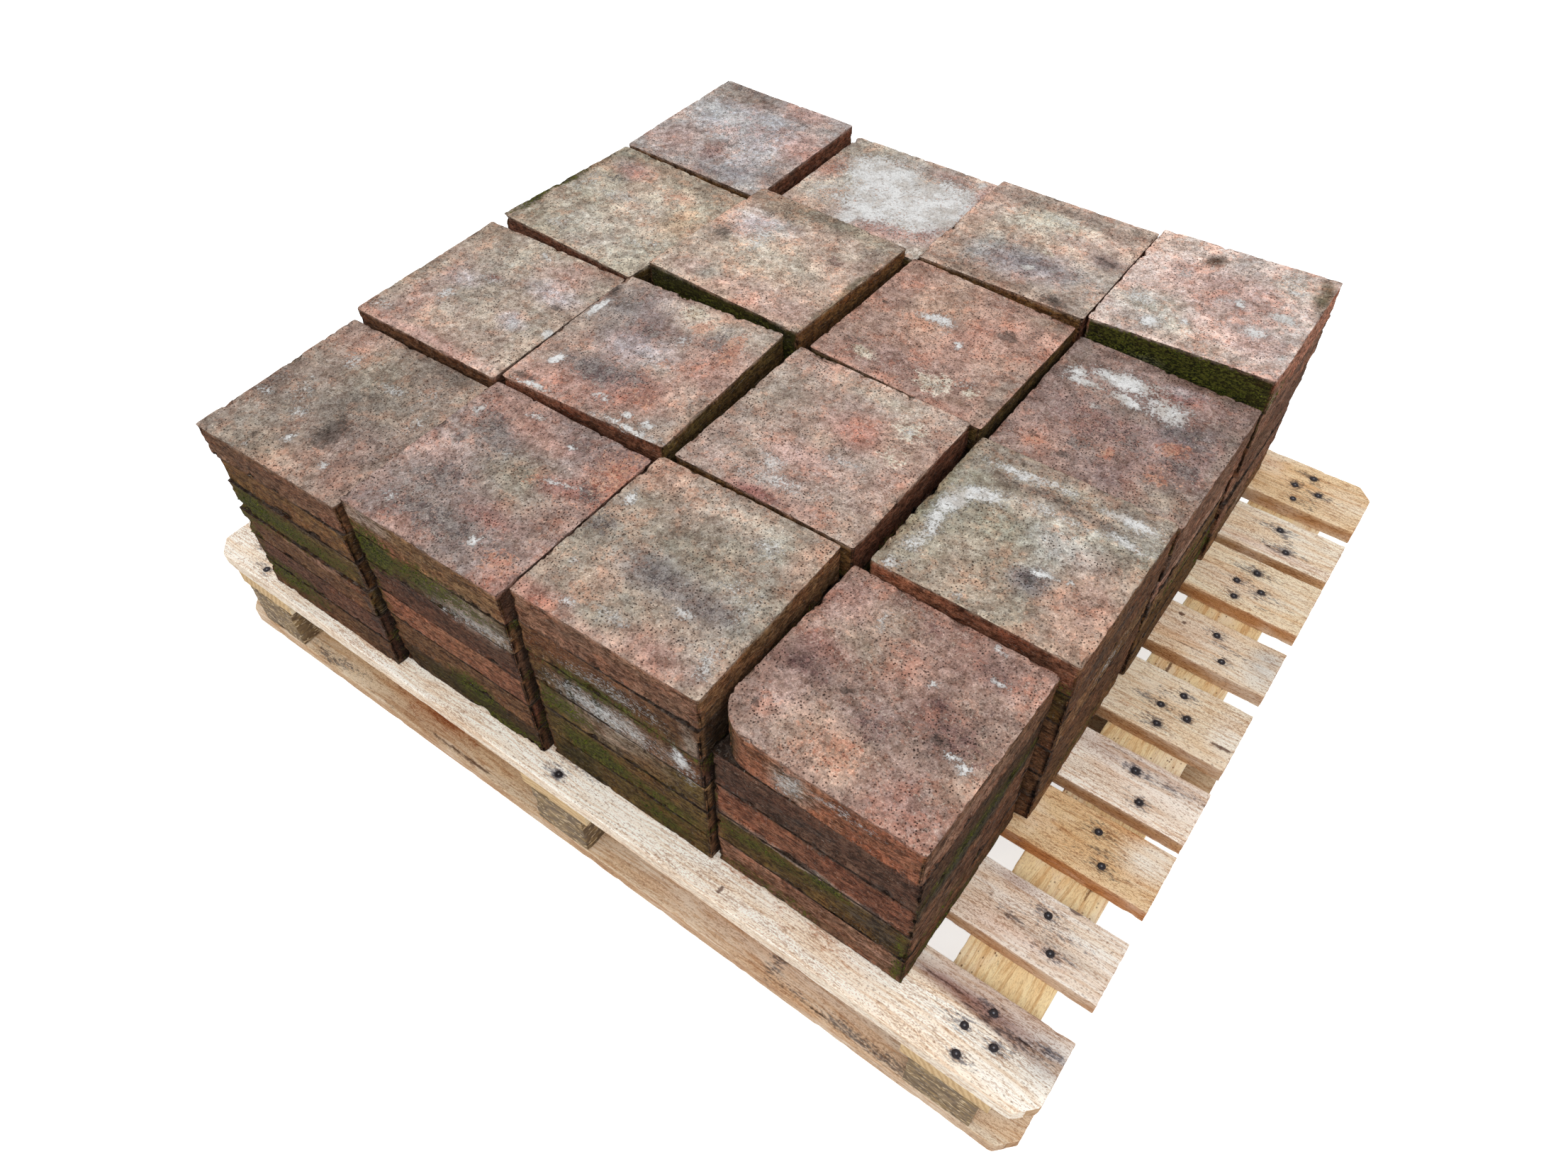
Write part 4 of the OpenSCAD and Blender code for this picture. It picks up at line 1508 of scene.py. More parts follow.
         (84, 11, 16, 10, 0.45)), ("lime", (9, -56, 7, 7, 1.1), (-4, 64, 30, 10, 0.42),
         (90, -60, 8, 12, 0.42)), ("slate", (30, -42, 50, 14, 0.3)),
    ]),
    "d4": ((219, 197, 188), [
        ("pink", (-3, 10, 62, 56, 0.75)), ("dark brown", (-33, 76, 13, 15, 1.0)),
        ("dark olive", (105, 74, 12, 42, 0.95)), ("cream", (70, 80, 28, 32, 0.6),
         (-72, -46, 50, 22, 0.6)), ("khaki", (-4, -98, 112, 16, 0.5)),
        ("pink", (60, -60, 40, 24, 0.5)), ("khaki", (-90, 90, 34, 26, 0.4)),
        ("cream", (-22, -74, 20, 18, 0.6)), ("lime", (77, 2, 16, 10, 1.2), (29, 8, 5, 12, 1.0, 14),
         (74, 66, 13, 5, 0.9, 20), (59, -39, 13, 12, 0.85), (-48, -82, 12, 14, 1.2),
         (-16, -59, 5, 5, 0.9), (104, -67, 6, 7, 0.9), (-76, 28, 5, 5, 0.9),
         (-84, -40, 32, 14, 0.6), (-53, 31, 12, 9, 0.55), (66, 88, 20, 22, 0.5),
         (6, -2, 26, 5, 0.42, 30)),
    ]),
}
mark_count = sum(len(group) - 1 for _, marks in TOPS.values() for group in marks)
print("top tiles with", mark_count, "marks")

# %% [markdown]
# The sides of the load stand in the rain: moss grows along the joints, lime has run
# down from the tiles above, and each layer has its own brown. For the front and the
# right side, the colours of the layers are listed from the bottom tile up, then the
# marks, by their place along the side and their height above the boards. The left
# side and the back get marks of the same kinds, drawn with a fixed seed. Sides that
# face the next stack get painted shade, which deepens below the top tile. Where the gap
# opens to the front or to the right, the painted shade starts a little way in.

# %% Marks on the sides
FRONTS = {
    "a1": (("brown", "purple brown", "brown", "olive", "ochre", "mauve"), [
        ("dusty", (20, 128, 60, 5, 0.7)), ("dark brown", (20, 178, 100, 5, 0.8)),
        ("khaki", (0, 200, 80, 12, 0.4)), ("moss", (-70, 34, 60, 24, 0.8), (-60, 150, 80, 22, 0.9),
         (30, 146, 60, 16, 0.65), (-110, 120, 14, 60, 0.6)), ("soot", (108, 100, 8, 110, 0.7)),
    ]),
    "a2": (("dark brown", "brown", "terracotta", "purple brown", "olive", "khaki"), [
        ("lavender", (-82, 264, 34, 14, 1.0)), ("terracotta", (-52, 236, 30, 11, 1.1)),
        ("lavender", (50, 208, 62, 26, 0.9)), ("dark olive", (0, 20, 110, 26, 0.8)),
        ("dark brown", (0, 192, 112, 4, 0.8)), ("moss", (-90, 216, 36, 30, 1.2),
         (0, 218, 80, 22, 0.75), (10, 46, 40, 20, 0.9), (60, 8, 60, 12, 0.85),
         (-112, 150, 8, 90, 0.5)), ("lime", (56, 200, 62, 16, 0.62, 4), (12, 186, 4, 4, 1.0)),
        ("soot", (0, 176, 110, 6, 0.5)),
    ]),
    "a3": (("olive", "olive", "olive", "brown", "brown", "worn mauve"), [
        ("olive", (-88, 158, 26, 26, 0.8), (0, 200, 110, 20, 0.5)),
        ("lavender", (-2, 160, 72, 24, 1.0)), ("brown", (50, 164, 12, 20, 0.9)),
        ("dark olive", (-58, 172, 6, 28, 1.3), (-42, 176, 4, 18, 1.1), (-20, 170, 5, 24, 1.3)),
        ("lavender", (-20, 120, 80, 16, 0.5)), ("dark olive", (-76, 20, 40, 24, 0.7)),
        ("ochre", (40, 112, 34, 14, 0.7)), ("lavender", (102, 214, 9, 20, 0.8)),
        ("ochre", (20, 78, 50, 10, 0.6)), ("lime", (-12, 162, 70, 18, 0.6),
         (84, 174, 12, 24, 0.85, 30), (94, 156, 16, 18, 0.55), (0, 214, 60, 14, 0.42)),
        ("moss", (-36, 66, 46, 20, 1.2), (40, 56, 60, 14, 0.55), (0, 192, 110, 8, 0.75),
         (-80, 118, 40, 20, 0.75), (50, 18, 30, 14, 0.8)),
    ]),
    "a4": (("worn mauve", "olive", "red brown", "umber", "terracotta"), [
        ("terracotta", (-70, 240, 40, 26, 0.9)), ("lavender", (-22, 240, 24, 20, 0.9, 30),
         (0, 108, 90, 5, 0.9)), ("red brown", (70, 236, 40, 22, 0.6)),
        ("dusty", (78, 30, 26, 5, 0.9)), ("dark brown", (0, 158, 112, 4, 0.9)),
        ("lime", (-24, 240, 20, 12, 0.55, 40), (32, 254, 34, 5, 0.5)),
        ("moss", (-60, 88, 60, 14, 0.6), (20, 98, 26, 9, 0.95), (-50, 10, 60, 10, 0.42),
         (108, 40, 8, 50, 0.9)), ("soot", (76, 80, 40, 24, 0.7), (-10, 186, 40, 14, 0.5)),
    ]),
    "b4": (("brown", "brown", "brown", "brown", "olive", "red brown"), [
        ("terracotta", (-60, 262, 44, 26, 0.9)), ("moss", (40, 236, 80, 12, 0.6)),
    ]),
    "c2": (("olive", "olive", "olive", "olive", "olive", "dark olive"), [
        ("moss", (0, 262, 110, 30, 0.75)),
    ]),
    "d4": (("brown", "brown", "brown", "brown", "olive", "dark olive"), [
        ("moss", (0, 262, 120, 30, 0.95)), ("lime", (-30, 258, 30, 9, 0.66)),
    ]),
}
RIGHTS = {
    "a4": (("brown", "mauve", "mauve", "dark brown", "brown"), [
        ("dark olive", (0, 153, 130, 22, 1.3)), ("dusty", (-40, 236, 100, 22, 0.6)),
        ("moss", (0, 158, 130, 16, 0.5), (-60, 60, 50, 8, 0.5), (-30, 8, 100, 12, 0.6)),
        ("soot", (0, 148, 130, 20, 1.0), (0, 12, 110, 14, 0.6), (40, 90, 60, 16, 0.42)),
    ]),
    "b4": (("khaki", "brown", "brown", "khaki", "brown", "brown"), [
        ("olive", (0, 44, 110, 16, 0.3)), ("moss", (20, 20, 90, 12, 0.5)),
        ("soot", (0, 222, 110, 7, 0.8, 4), (-112, 110, 8, 120, 0.8)),
        ("lime", (10, 160, 40, 10, 0.42)),
    ]),
    "c4": (("khaki", "ochre", "khaki", "dusty", "worn mauve", "worn mauve"), [
        ("olive", (0, 60, 110, 50, 0.5)), ("soot", (-108, 150, 12, 90, 0.8)),
        ("moss", (100, 50, 14, 50, 0.9), (0, 94, 100, 7, 0.6)),
    ]),
    "d4": (("khaki", "worn mauve", "worn mauve", "mauve", "worn mauve", "pink"), [
        ("lavender", (-5, 25, 28, 10, 0.8)), ("lilac", (-95, 265, 18, 14, 0.7)),
        ("moss", (40, 140, 60, 8, 0.5), (-90, 262, 40, 16, 0.6)), ("soot", (0, 225, 110, 6, 0.6)),
    ]),
}
LAYER_STEP = 45
SIDE_COLOURS = ("brown", "mauve", "ochre", "red brown", "khaki", "purple brown", "olive")


def drawn_side(rng, layers):
    """Layer colours and marks for a side that has no list of its own."""
    bases = tuple(rng.choice(SIDE_COLOURS, layers))
    marks = []
    for joint in range(layers):
        height = joint * LAYER_STEP + rng.uniform(-4, 8)
        middle = rng.uniform(-80, 80)
        marks.append(("moss", (middle, height, rng.uniform(30, 90), rng.uniform(5, 18), 0.7)))
    for kind, strength in (("lime", 0.6), ("lavender", 0.6), ("soot", 0.6), ("flake", 0.5)):
        place = (rng.uniform(-90, 90), rng.uniform(20, 230))
        marks.append((kind, (*place, rng.uniform(15, 50), rng.uniform(5, 14), strength)))
    return bases, marks


print("sides with lists:", len(FRONTS) + len(RIGHTS))

# %% Paint the stacks
LOAD_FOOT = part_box("tile_stack_a1")[0][2] / MM
TILE_HALF = TILE_THICKNESS / 2 / MM
TOP_DRIFT = 34
SIDE_DRIFT = 40
HEIGHT_DRIFT = 24
# How strongly faces inside the load get painted shade, and from how far below the top.
PAINTED_SHADE_STRENGTH = 0.75
PAINTED_SHADE_BELOW = 24
PAINTED_SHADE_REACH = 30


def paint_stack(label, piece):
    """Paints one stack: each side by layers and marks, then the top tile."""
    rng = np.random.default_rng(sum(ord(letter) for letter in label) * 7)
    mesh = piece.data
    places = point_places(mesh) / MM
    normals = point_normals(mesh)
    local = get_attribute(mesh, "tile_place", 3) / MM
    drift = get_attribute(mesh, "drift", 3)
    layer = get_attribute(mesh, "layer", 1).round().astype(int)
    side = get_attribute(mesh, "side_wear", 1)
    edge = get_attribute(mesh, "edge_wear", 1)
    middle = (places.min(0) + places.max(0)) / 2
    layers = layer.max() + 1
    base = linear(TOPS[label][0])
    on_top = (layer == layers - 1) * np.clip(local[:, 2] - 19, 0, 1) * (1 - side)
    hidden = linear(SIDE_PALETTE["dark brown"])
    tint = np.tile(base * BODY_TINGE, (len(places), 1))
    lay_paint(tint, hidden, 1 - on_top)
    skin = np.column_stack([np.tile(base * SKIN_TINGE, (len(places), 1)), 0.54 - 0.24 * edge])
    lay_paint(skin, hidden, 1 - on_top)
    hues = np.zeros((len(places), 4))
    cover = np.zeros((len(places), 4))
    coats = (tint, skin, hues, cover)
    height = places[:, 2] - LOAD_FOOT + HEIGHT_DRIFT * drift[:, 2]
    # How far below the top a point lies, for the painted shade on faces inside the load.
    deep = np.clip((places[:, 2].max() - PAINTED_SHADE_BELOW - places[:, 2]) / PAINTED_SHADE_REACH, 0, 1)
    from_front = places[:, 1] - places[:, 1].min()
    from_right = places[:, 0].max() - places[:, 0]
    front_painted_shade = np.clip(from_right / 12 - 1.2, 0, 1) if label[1] == "4" else 1.0
    reach = 2 + 6 * np.clip(places[:, 2] / 200, 0, 1)
    right_painted_shade = np.clip((from_front - reach) / 4, 0, 1) if label[0] == "a" else 1.0
    directions = (
        (-normals[:, 1], places[:, 0] - middle[0], FRONTS, front_painted_shade * (label[0] != "a")),
        (normals[:, 0], places[:, 1] - middle[1], RIGHTS, right_painted_shade * (label[1] != "4")),
        (normals[:, 1], places[:, 0] - middle[0], {}, float(label[0] != "d")),
        (-normals[:, 0], places[:, 1] - middle[1], {}, float(label[1] != "1")),
    )
    for facing, along, lists, inner in directions:
        bases, marks = lists[label] if label in lists else drawn_side(rng, layers)
        where = np.clip(facing * 3 - 0.9, 0, 1) * (1 - on_top)
        for number, name in enumerate(bases):
            paint = linear(SIDE_PALETTE[name]) * rng.uniform(0.9, 1.1)
            here = where * (layer == number)
            lay_paint(tint, paint * SIDE_PALETTE["body"], here)
            lay_paint(skin, paint * SIDE_PALETTE["skin"], here)
        brush(coats, where, along + SIDE_DRIFT * drift[:, 0], height, marks, SIDE_PALETTE)
        # Painted shade: faces that look at the next stack are darkened below the top tile.
        painted_shade_factor = 1 - PAINTED_SHADE_STRENGTH * deep * where * inner
        tint *= painted_shade_factor[:, None]
        skin[:, :3] *= painted_shade_factor[:, None]
    joint = np.clip((np.abs(local[:, 2]) - TILE_HALF + 4) / 4, 0, 1) * (1 - on_top)
    joint *= 1 - (layer == layers - 1) * (local[:, 2] > 0)
    cover[:, 2] = np.maximum(cover[:, 2], joint * (0.72 + 0.9 * drift[:, 1]))
    across = local[:, 0] + TOP_DRIFT * drift[:, 0]
    along = local[:, 1] + TOP_DRIFT * drift[:, 1]
    brush(coats, on_top, across, along, TOPS[label][1], PALETTE)
    put_attribute(mesh, "tint", np.column_stack([tint, np.ones(len(tint))]))
    for name, rows in (("skin", skin), ("hues", hues), ("cover", cover)):
        put_attribute(mesh, name, np.clip(rows, 0, 1))


for label, piece in stack_pieces.items():
    paint_stack(label, piece)
print("painted", len(stack_pieces), "stacks")

# %% [markdown]
# ## Moss
#
# Where moss grows thickly it stands off the tiles as small cushions. A geometry tree
# scatters tiny shoots over the sides of the stacks that are not hidden, only where moss
# is painted, turns each along the face it grows on, and gives them mixed sizes.

# %% Moss tree
def moss_tree():
    """Painted stacks to moss shoots."""
    tree, given, result = new_tree(
        "moss on the sides", "GeometryNodeTree",
        [
            ("Geometry", GEOMETRY, None),
            ("Shoot", OBJECT, None),
            ("Shoots per square metre", FLOAT, 42000.0),
            ("Least size", FLOAT, 0.5),
            ("Largest size", FLOAT, 1.3),
            ("Seed", "NodeSocketInt", 5),
            ("Material", MATERIAL, None),
        ],
        [("Geometry", GEOMETRY)],
    )
    mossy = named(tree, "moss")
    place = add_node(tree, "GeometryNodeInputPosition").outputs[0]
    patchy = step(tree, noise(tree, place, 70, 3, 0.6), 0.42, 0.62)
    thick = times(tree, step(tree, mossy, 0.35, 0.9), patchy)
    density = times(tree, thick, given["Shoots per square metre"])
    scattered = add_node(
        tree, "GeometryNodeDistributePointsOnFaces",
        {"Mesh": given["Geometry"], "Density": density, "Seed": given["Seed"]},
    )
    size = add_node(
        tree, "FunctionNodeRandomValue",
        {2: given["Least size"], 3: given["Largest size"], "Seed": given["Seed"]},
    ).outputs[1]
    more = {"Rotation": scattered.outputs["Rotation"], "Scale": size}
    placed = copies(tree, scattered.outputs["Points"], given["Shoot"], **more)
    return finish_tree(tree, made_real(tree, placed), given, result, smooth=False)


def moss_shoot():
    """A tiny rough cushion: a low cone of five sides with a bent tip."""
    points = [(0.0, 0.0, 1.7 * MM)]
    for turn in range(5):
        angle = turn * math.tau / 5
        reach = (1.3 + 0.35 * (turn % 2)) * MM
        points.append((reach * math.cos(angle), reach * math.sin(angle), -0.3 * MM))
    faces = [[0, 1 + turn, 1 + (turn + 1) % 5] for turn in range(5)] + [[5, 4, 3, 2, 1]]
    return new_mesh_object("shoot", points, faces)


moss_beds = []
for label, piece in stack_pieces.items():
    if label in HIDDEN_STACKS:
        continue
    mesh = piece.data.copy()
    amount = get_attribute(mesh, "cover", 4)[:, 1] * get_attribute(mesh, "side_wear", 1)
    put_attribute(mesh, "moss", amount)
    copy = bpy.data.objects.new("mossy", mesh)
    bpy.context.scene.collection.objects.link(copy)
    moss_beds.append(copy)
shoot = moss_shoot()
growing = moss_tree()
for copy in moss_beds:
    run_nodes(copy, growing, {"Shoot": shoot, "Material": moss_shoots})
with bpy.context.temp_override(active_object=moss_beds[0], selected_editable_objects=moss_beds):
    bpy.ops.object.join()
moss = moss_beds[0]
moss.name = "moss"
moss.data.name = "moss"
bpy.data.objects.remove(shoot)
print("moss:", triangle_count(moss), "triangles")

# %% Hand the tiles to the frame
for label, piece in stack_pieces.items():
    drop_attributes(piece.data, ("tile_place", "drift", "layer", "edge_wear"))
    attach(piece, "root")
    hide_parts("tile_stack_" + label)
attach(moss, "root")
print("the load has", len(stack_pieces) + 1, "pieces")

# %% [markdown]
# ## The timber tree
#
# Sawn wood is not flat: the saw leaves it furry, its long edges are bruised and its
# ends fray. The same geometry tree roughens every board, stringer and block. Its noise
# is stretched along the grain by the input "Grain", so the furrows run that way.

# %% Timber tree
def timber_tree():
    """Blank timber to rough sawn timber."""
    tree, given, result = new_tree(
        "rough sawn timber", "GeometryNodeTree",
        [
            ("Geometry", GEOMETRY, None),
            ("Grain", VECTOR, (0.06, 1.0, 1.0)),
            ("Bruise depth", FLOAT, 1.2 * MM),
            ("Furrow depth", FLOAT, 0.35 * MM),
            ("Fray depth", FLOAT, 1.0 * MM),
            ("Bow depth", FLOAT, 0.3 * MM),
            ("Material", MATERIAL, None),
        ],
        [("Geometry", GEOMETRY)],
    )

    place = add_node(tree, "GeometryNodeInputPosition").outputs[0]
    along = stretched(tree, place, given["Grain"])
    furrows = noise(tree, along, 230, 3, 0.6)
    furrows = times(tree, furrows, given["Furrow depth"])
    bruises = step(tree, noise(tree, place, 45, 3, 0.6), 0.50, 0.72)
    bruises = times(tree, bruises, named(tree, "edge_wear"))
    bruises = times(tree, bruises, given["Bruise depth"])
    frays = step(tree, noise(tree, along, 320, 2, 0.6), 0.40, 0.62)
    frays = times(tree, frays, named(tree, "end_face"))
    frays = times(tree, frays, given["Fray depth"])
    bow = times(tree, noise(tree, along, 9, 2, 0.5), given["Bow depth"])
    wear = plus(tree, furrows, bruises, plus(tree, frays, bow))
    return finish_tree(tree, pushed_in(tree, given["Geometry"], wear), given, result)


GRAIN_ALONG_X = (0.06, 1.0, 1.0)
GRAIN_ALONG_Y = (1.0, 0.06, 1.0)
sawing = timber_tree()
print("the timber tree has", len(sawing.nodes), "nodes")

# %% Nail places from the frame
NAILS = []
for island in tile_islands(NODES["nail_heads"]):
    rows = np.concatenate([corner_places for _, _, corner_places in island])
    NAILS.append((rows.min(0) + rows.max(0)) / 2)
NAILS = sorted(NAILS, key=lambda nail: (round(nail[1], 4), round(nail[0], 4)))
print(len(NAILS), "nails")

# %% [markdown]
# ## Making one piece of timber
#
# One function makes any board, stringer or block. The grid lines crowd together in
# the stretches that are given as close ones, and along the cracks. Dents round the
# nails and cracks are pressed into the upper face first, then the tree roughens it.
# Paint works as on the tiles, in millimetres of the frame. It covers the upper face,
# and more thinly the sides.

# %% Timber pieces
def stretch_lines(low, high, edge_radius, stretches, coarse):
    """Grid lines along a piece: coarse, with closer spacing inside some stretches."""
    lines = [low, low + 0.4 * edge_radius, low + edge_radius]
    place = low + edge_radius
    while place < high - edge_radius:
        spacing = coarse
        for start, end, close in stretches:
            if start <= place < end:
                spacing = min(spacing, close)
            elif place < start < place + spacing:
                spacing = max(start - place, close)
        place += spacing
        lines.append(min(place, high - edge_radius))
    lines += [high - 0.4 * edge_radius, high]
    return np.array(sorted(set(np.round(lines, 6))))


def timber_blank(name, node, lines, edge_radius, clips, grain_axis=0):
    """A rounded blank in the place of a CAD node, with attributes for the tree."""
    low, high = node_box(node)
    points, faces = blank_box(*lines, rim=12 * MM, open_top=True)
    nearness = edge_nearness(points, low, high, 4 * MM)
    along = points[:, grain_axis]
    from_end = np.minimum(along - low[grain_axis], high[grain_axis] - along)
    end_face = (from_end < 1e-5).astype(float)
    points = rounded_edges(points, low, high, edge_radius)
    for x_side, y_side, size in clips:
        points = shaped_corner(points, low, high, x_side, y_side, size, 1)
    return new_mesh_object(name, points, faces, [("edge_wear", nearness), ("end_face", end_face)])


def press_nails(points, top, nails, depth=1.35 * MM, inner=4.6 * MM, outer=7.0 * MM):
    """Dents round nail heads in the upper face, longer along the grain."""
    on_top = points[:, 2] > top - 1 * MM
    for nail in nails:
        away = np.hypot((points[:, 0] - nail[0]) * 0.75, points[:, 1] - nail[1])
        share = np.clip((outer - away) / (outer - inner), 0, 1)
        points[:, 2] -= on_top * depth * share * share * (3 - 2 * share)


def open_cracks(points, top, cracks):
    """Narrow splits along the grain in the upper face, each (start, end, place, depth)."""
    on_top = points[:, 2] > top - 1.5 * MM
    for start, end, place, depth in cracks:
        along = np.clip((points[:, 0] / MM - start) / (end - start), 0, 1)
        across = np.abs(points[:, 1] / MM - place)
        share = np.sin(np.pi * np.clip(along, 0.02, 0.98)) ** 0.5
        groove = np.clip(1 - across / 1.4, 0, 1) * share
        groove *= (along > 0) & (along < 1)
        points[:, 2] -= on_top * groove * depth * MM


def paint_timber(piece, base, end_base, side_base, marks, stains, nails, cracks):
    """Tints and stains one piece of timber."""
    mesh = piece.data
    places = point_places(mesh)
    normals = point_normals(mesh)
    end_face = get_attribute(mesh, "end_face", 1)
    tint = np.tile(linear(base), (len(places), 1))
    stain = np.zeros((len(places), 4))
    x = places[:, 0] / MM
    y = places[:, 1] / MM
    upper = np.clip(normals[:, 2] * 2, 0, 1)
    beside = 1 - np.clip(np.abs(normals[:, 2]) * 2, 0, 1)
    # The sides take their own colour, which on the deck boards is partly painted shade.
    lay_paint(tint, linear(side_base), beside)
    lay_paint(tint, linear(end_base), end_face)
    where = np.clip(upper + 0.7 * beside, 0, 1)
    for kind, *ovals in marks:
        for mark in ovals:
            lay_paint(tint, linear(WOOD_PAINTS[kind]), oval(x, y, mark) * where)
    for kind, *ovals in stains:
        for mark in ovals:
            raise_amount(stain, STAINS.index(kind), oval(x, y, mark) * where)
    for nail in nails:
        spread = 6.2 + 1.6 * math.sin(nail[0] * 900 + nail[1] * 700)
        reach = 24 + 9 * math.sin(nail[0] * 500 + nail[1] * 300)
        side = 4 * math.sin(nail[0] * 300 + nail[1] * 900)
        close = (nail[0] / MM, nail[1] / MM, spread * 1.2, spread, 1.0)
        run = (nail[0] / MM + side, nail[1] / MM, reach, 10, 0.5)
        for mark in (close, run):
            raise_amount(stain, STAINS.index("iron"), oval(x, y, mark) * upper)
    for start, end, place, _ in cracks:
        mark = ((start + end) / 2, place, (end - start) / 2.4, 1.3, 1.2)
        raise_amount(stain, STAINS.index("knot"), oval(x, y, mark) * upper)
    stain[:, 3] = end_face
    put_attribute(mesh, "tint", np.column_stack([tint, np.ones(len(tint))]))
    put_attribute(mesh, "stain", np.clip(stain, 0, 1))


def node_box(node):
    """The two corners of a CAD node, as arrays."""
    return [np.array(corner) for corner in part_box(node)]


def corner_clips(front, back):
    """The clipped corners of a board at the very front or back."""
    y_side = -1 if front else 1
    return [(x_side, y_side, CORNER_CLIP) for x_side in (-1, 1) if front or back]


def finish_timber(piece, nodes, settings):
    """Roughens a piece, hands it to the frame and returns its number of triangles."""
    run_nodes(piece, sawing, settings)
    drop_attributes(piece.data, ("edge_wear", "end_face"))
    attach(piece, "root")
    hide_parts(*nodes)
    return triangle_count(piece)


WOOD_PAINTS = {
    "cream": (250, 240, 222),
    "pale": (252, 246, 236),
    "tan": (226, 198, 160),
    "golden": (230, 196, 146),
    "orange": (224, 172, 116),
    "pink": (240, 210, 194),
    "mauve": (190, 162, 150),
    "grey": (208, 200, 192),
    "blue grey": (200, 200, 200),
    "brown": (184, 146, 110),
    "rust": (182, 122, 68),
    "plum": (158, 122, 112),
}
STAINS = ("iron", "damp", "knot")
print("timber helpers are ready")

# %% [markdown]
# ## Deck boards
#
# Nine boards of two widths carry the load. Only their right ends, the front board and
# the edges of the load show, so that is where the grid is close. Each board has its
# own colour, stains and cracks, from the front board 1 to the back board 9. Some
# colours run a little above 255, partly because the grain and the damp darken them
# again, and partly as painted light, so that the board ends stay pale in the shade
# of the load.

# %% Deck board colours
# Base colours above 255 are partly painted light, for board ends in the load's shade.
DECK = {
    1: ((268, 262, 250), [
        ("mauve", (520, -416, 120, 22, 0.7)), ("plum", (510, -432, 120, 9, 1.0, -2),
         (548, -442, 60, 5, 0.9, -6)), ("grey", (560, -455, 50, 30, 0.35)),
        ("pale", (100, -470, 340, 20, 0.4)), ("cream", (-400, -440, 120, 30, 0.4)),
        ("grey", (-340, -478, 40, 8, 0.35)), ("blue grey", (585, -440, 24, 24, 0.5)),
        ("brown", (0, -458, 470, 4, 0.35)),
    ], [
        ("iron", (584, -431, 20, 5, 0.75, 6), (540, -438, 60, 8, 0.5, -3),
         (-340, -478, 30, 7, 0.35)), ("knot", (520, -434, 90, 2.5, 0.7, -3),
         (230, -484, 3, 9, 0.9, 20)), ("damp", (0, -461, 440, 4, 0.45), (330, -470, 90, 10, 0.3)),
    ], [(548, 600, -452, 2.0), (480, 560, -432, 0.8)]),
    2: ((250, 238, 226), [
        ("mauve", (474, -296, 24, 8, 0.7)), ("pink", (500, -350, 60, 16, 0.5)),
        ("blue grey", (540, -336, 60, 6, 0.5)), ("pale", (560, -310, 40, 12, 0.6)),
    ], [
        ("iron", (490, -333, 20, 5, 0.45), (530, -322, 50, 7, 0.4, 4)),
        ("knot", (540, -288, 8, 5, 1.0), (462, -330, 5, 20, 0.35, 14)),
    ], [(545, 600, -297, 2.2), (448, 524, -351, 0.9)]),
    3: ((238, 206, 162), [
        ("pale", (578, -190, 30, 30, 0.7)), ("orange", (545, -168, 30, 12, 0.9)),
        ("golden", (490, -200, 50, 26, 0.4)),
    ], [
        ("damp", (545, -166, 30, 8, 0.4)), ("knot", (500, -220, 30, 3, 0.4)),
        ("iron", (530, -215, 36, 7, 0.4, 20)),
    ], []),
    4: ((264, 252, 238), [
        ("mauve", (520, -92, 110, 16, 0.6)), ("tan", (530, -130, 80, 14, 0.4)),
        ("pink", (540, -120, 60, 20, 0.3)),
    ], [
        ("iron", (540, -98, 60, 9, 0.45, 2)), ("knot", (500, -84, 40, 2.5, 0.5, 1)),
    ], [(560, 600, -116, 1.2)]),
    5: ((246, 230, 204), [("pale", (585, 10, 20, 34, 0.6)), ("tan", (490, 0, 40, 36, 0.4))], [
        ("iron", (505, 22, 16, 10, 0.5)), ("knot", (585, -15, 16, 3, 1.0)),
        ("damp", (480, -20, 40, 10, 0.3)),
    ], [(566, 600, -15, 2.4)]),
    6: ((246, 228, 202), [
        ("blue grey", (585, 125, 22, 34, 0.65)), ("orange", (480, 105, 40, 12, 0.3)),
        ("pink", (500, 125, 50, 24, 0.3)),
    ], [
        ("knot", (470, 143, 5, 3, 1.0), (478, 132, 4, 3, 1.0), (490, 100, 50, 2, 0.5, 2)),
        ("iron", (540, 124, 40, 6, 0.35, -6)),
    ], []),
    7: ((254, 238, 208), [("pink", (500, 232, 60, 22, 0.35)), ("cream", (570, 250, 36, 20, 0.4))], [
        ("iron", (550, 211, 16, 5, 0.5), (528, 234, 30, 10, 0.5, -40)),
        ("knot", (560, 226, 40, 2, 0.45, 1), (500, 262, 50, 2, 0.45, -1)),
    ], []),
    8: ((262, 250, 228), [("pink", (520, 312, 80, 8, 0.6)), ("cream", (560, 350, 40, 18, 0.4))], [
        ("knot", (517, 319, 3, 3, 1.0), (490, 352, 50, 2, 0.4, 1)),
        ("iron", (530, 344, 26, 8, 0.45, -40)),
    ], []),
    9: ((250, 220, 176), [
        ("orange", (462, 478, 30, 14, 0.6)), ("cream", (570, 450, 36, 36, 0.4)),
        ("tan", (500, 430, 60, 14, 0.3)),
    ], [
        ("iron", (505, 454, 13, 12, 0.7), (520, 474, 18, 9, 0.6, -20),
         (535, 430, 12, 16, 0.45, 20)), ("knot", (500, 440, 60, 2, 0.5, 2)),
        ("damp", (460, 476, 24, 14, 0.4)),
    ], []),
}
END_WOOD = {
    1: (214, 198, 176), 2: (190, 150, 112), 3: (188, 128, 78), 4: (206, 172, 134),
    5: (184, 146, 108), 6: (194, 152, 112), 7: (192, 142, 92), 8: (206, 168, 124),
    9: (200, 156, 108),
}
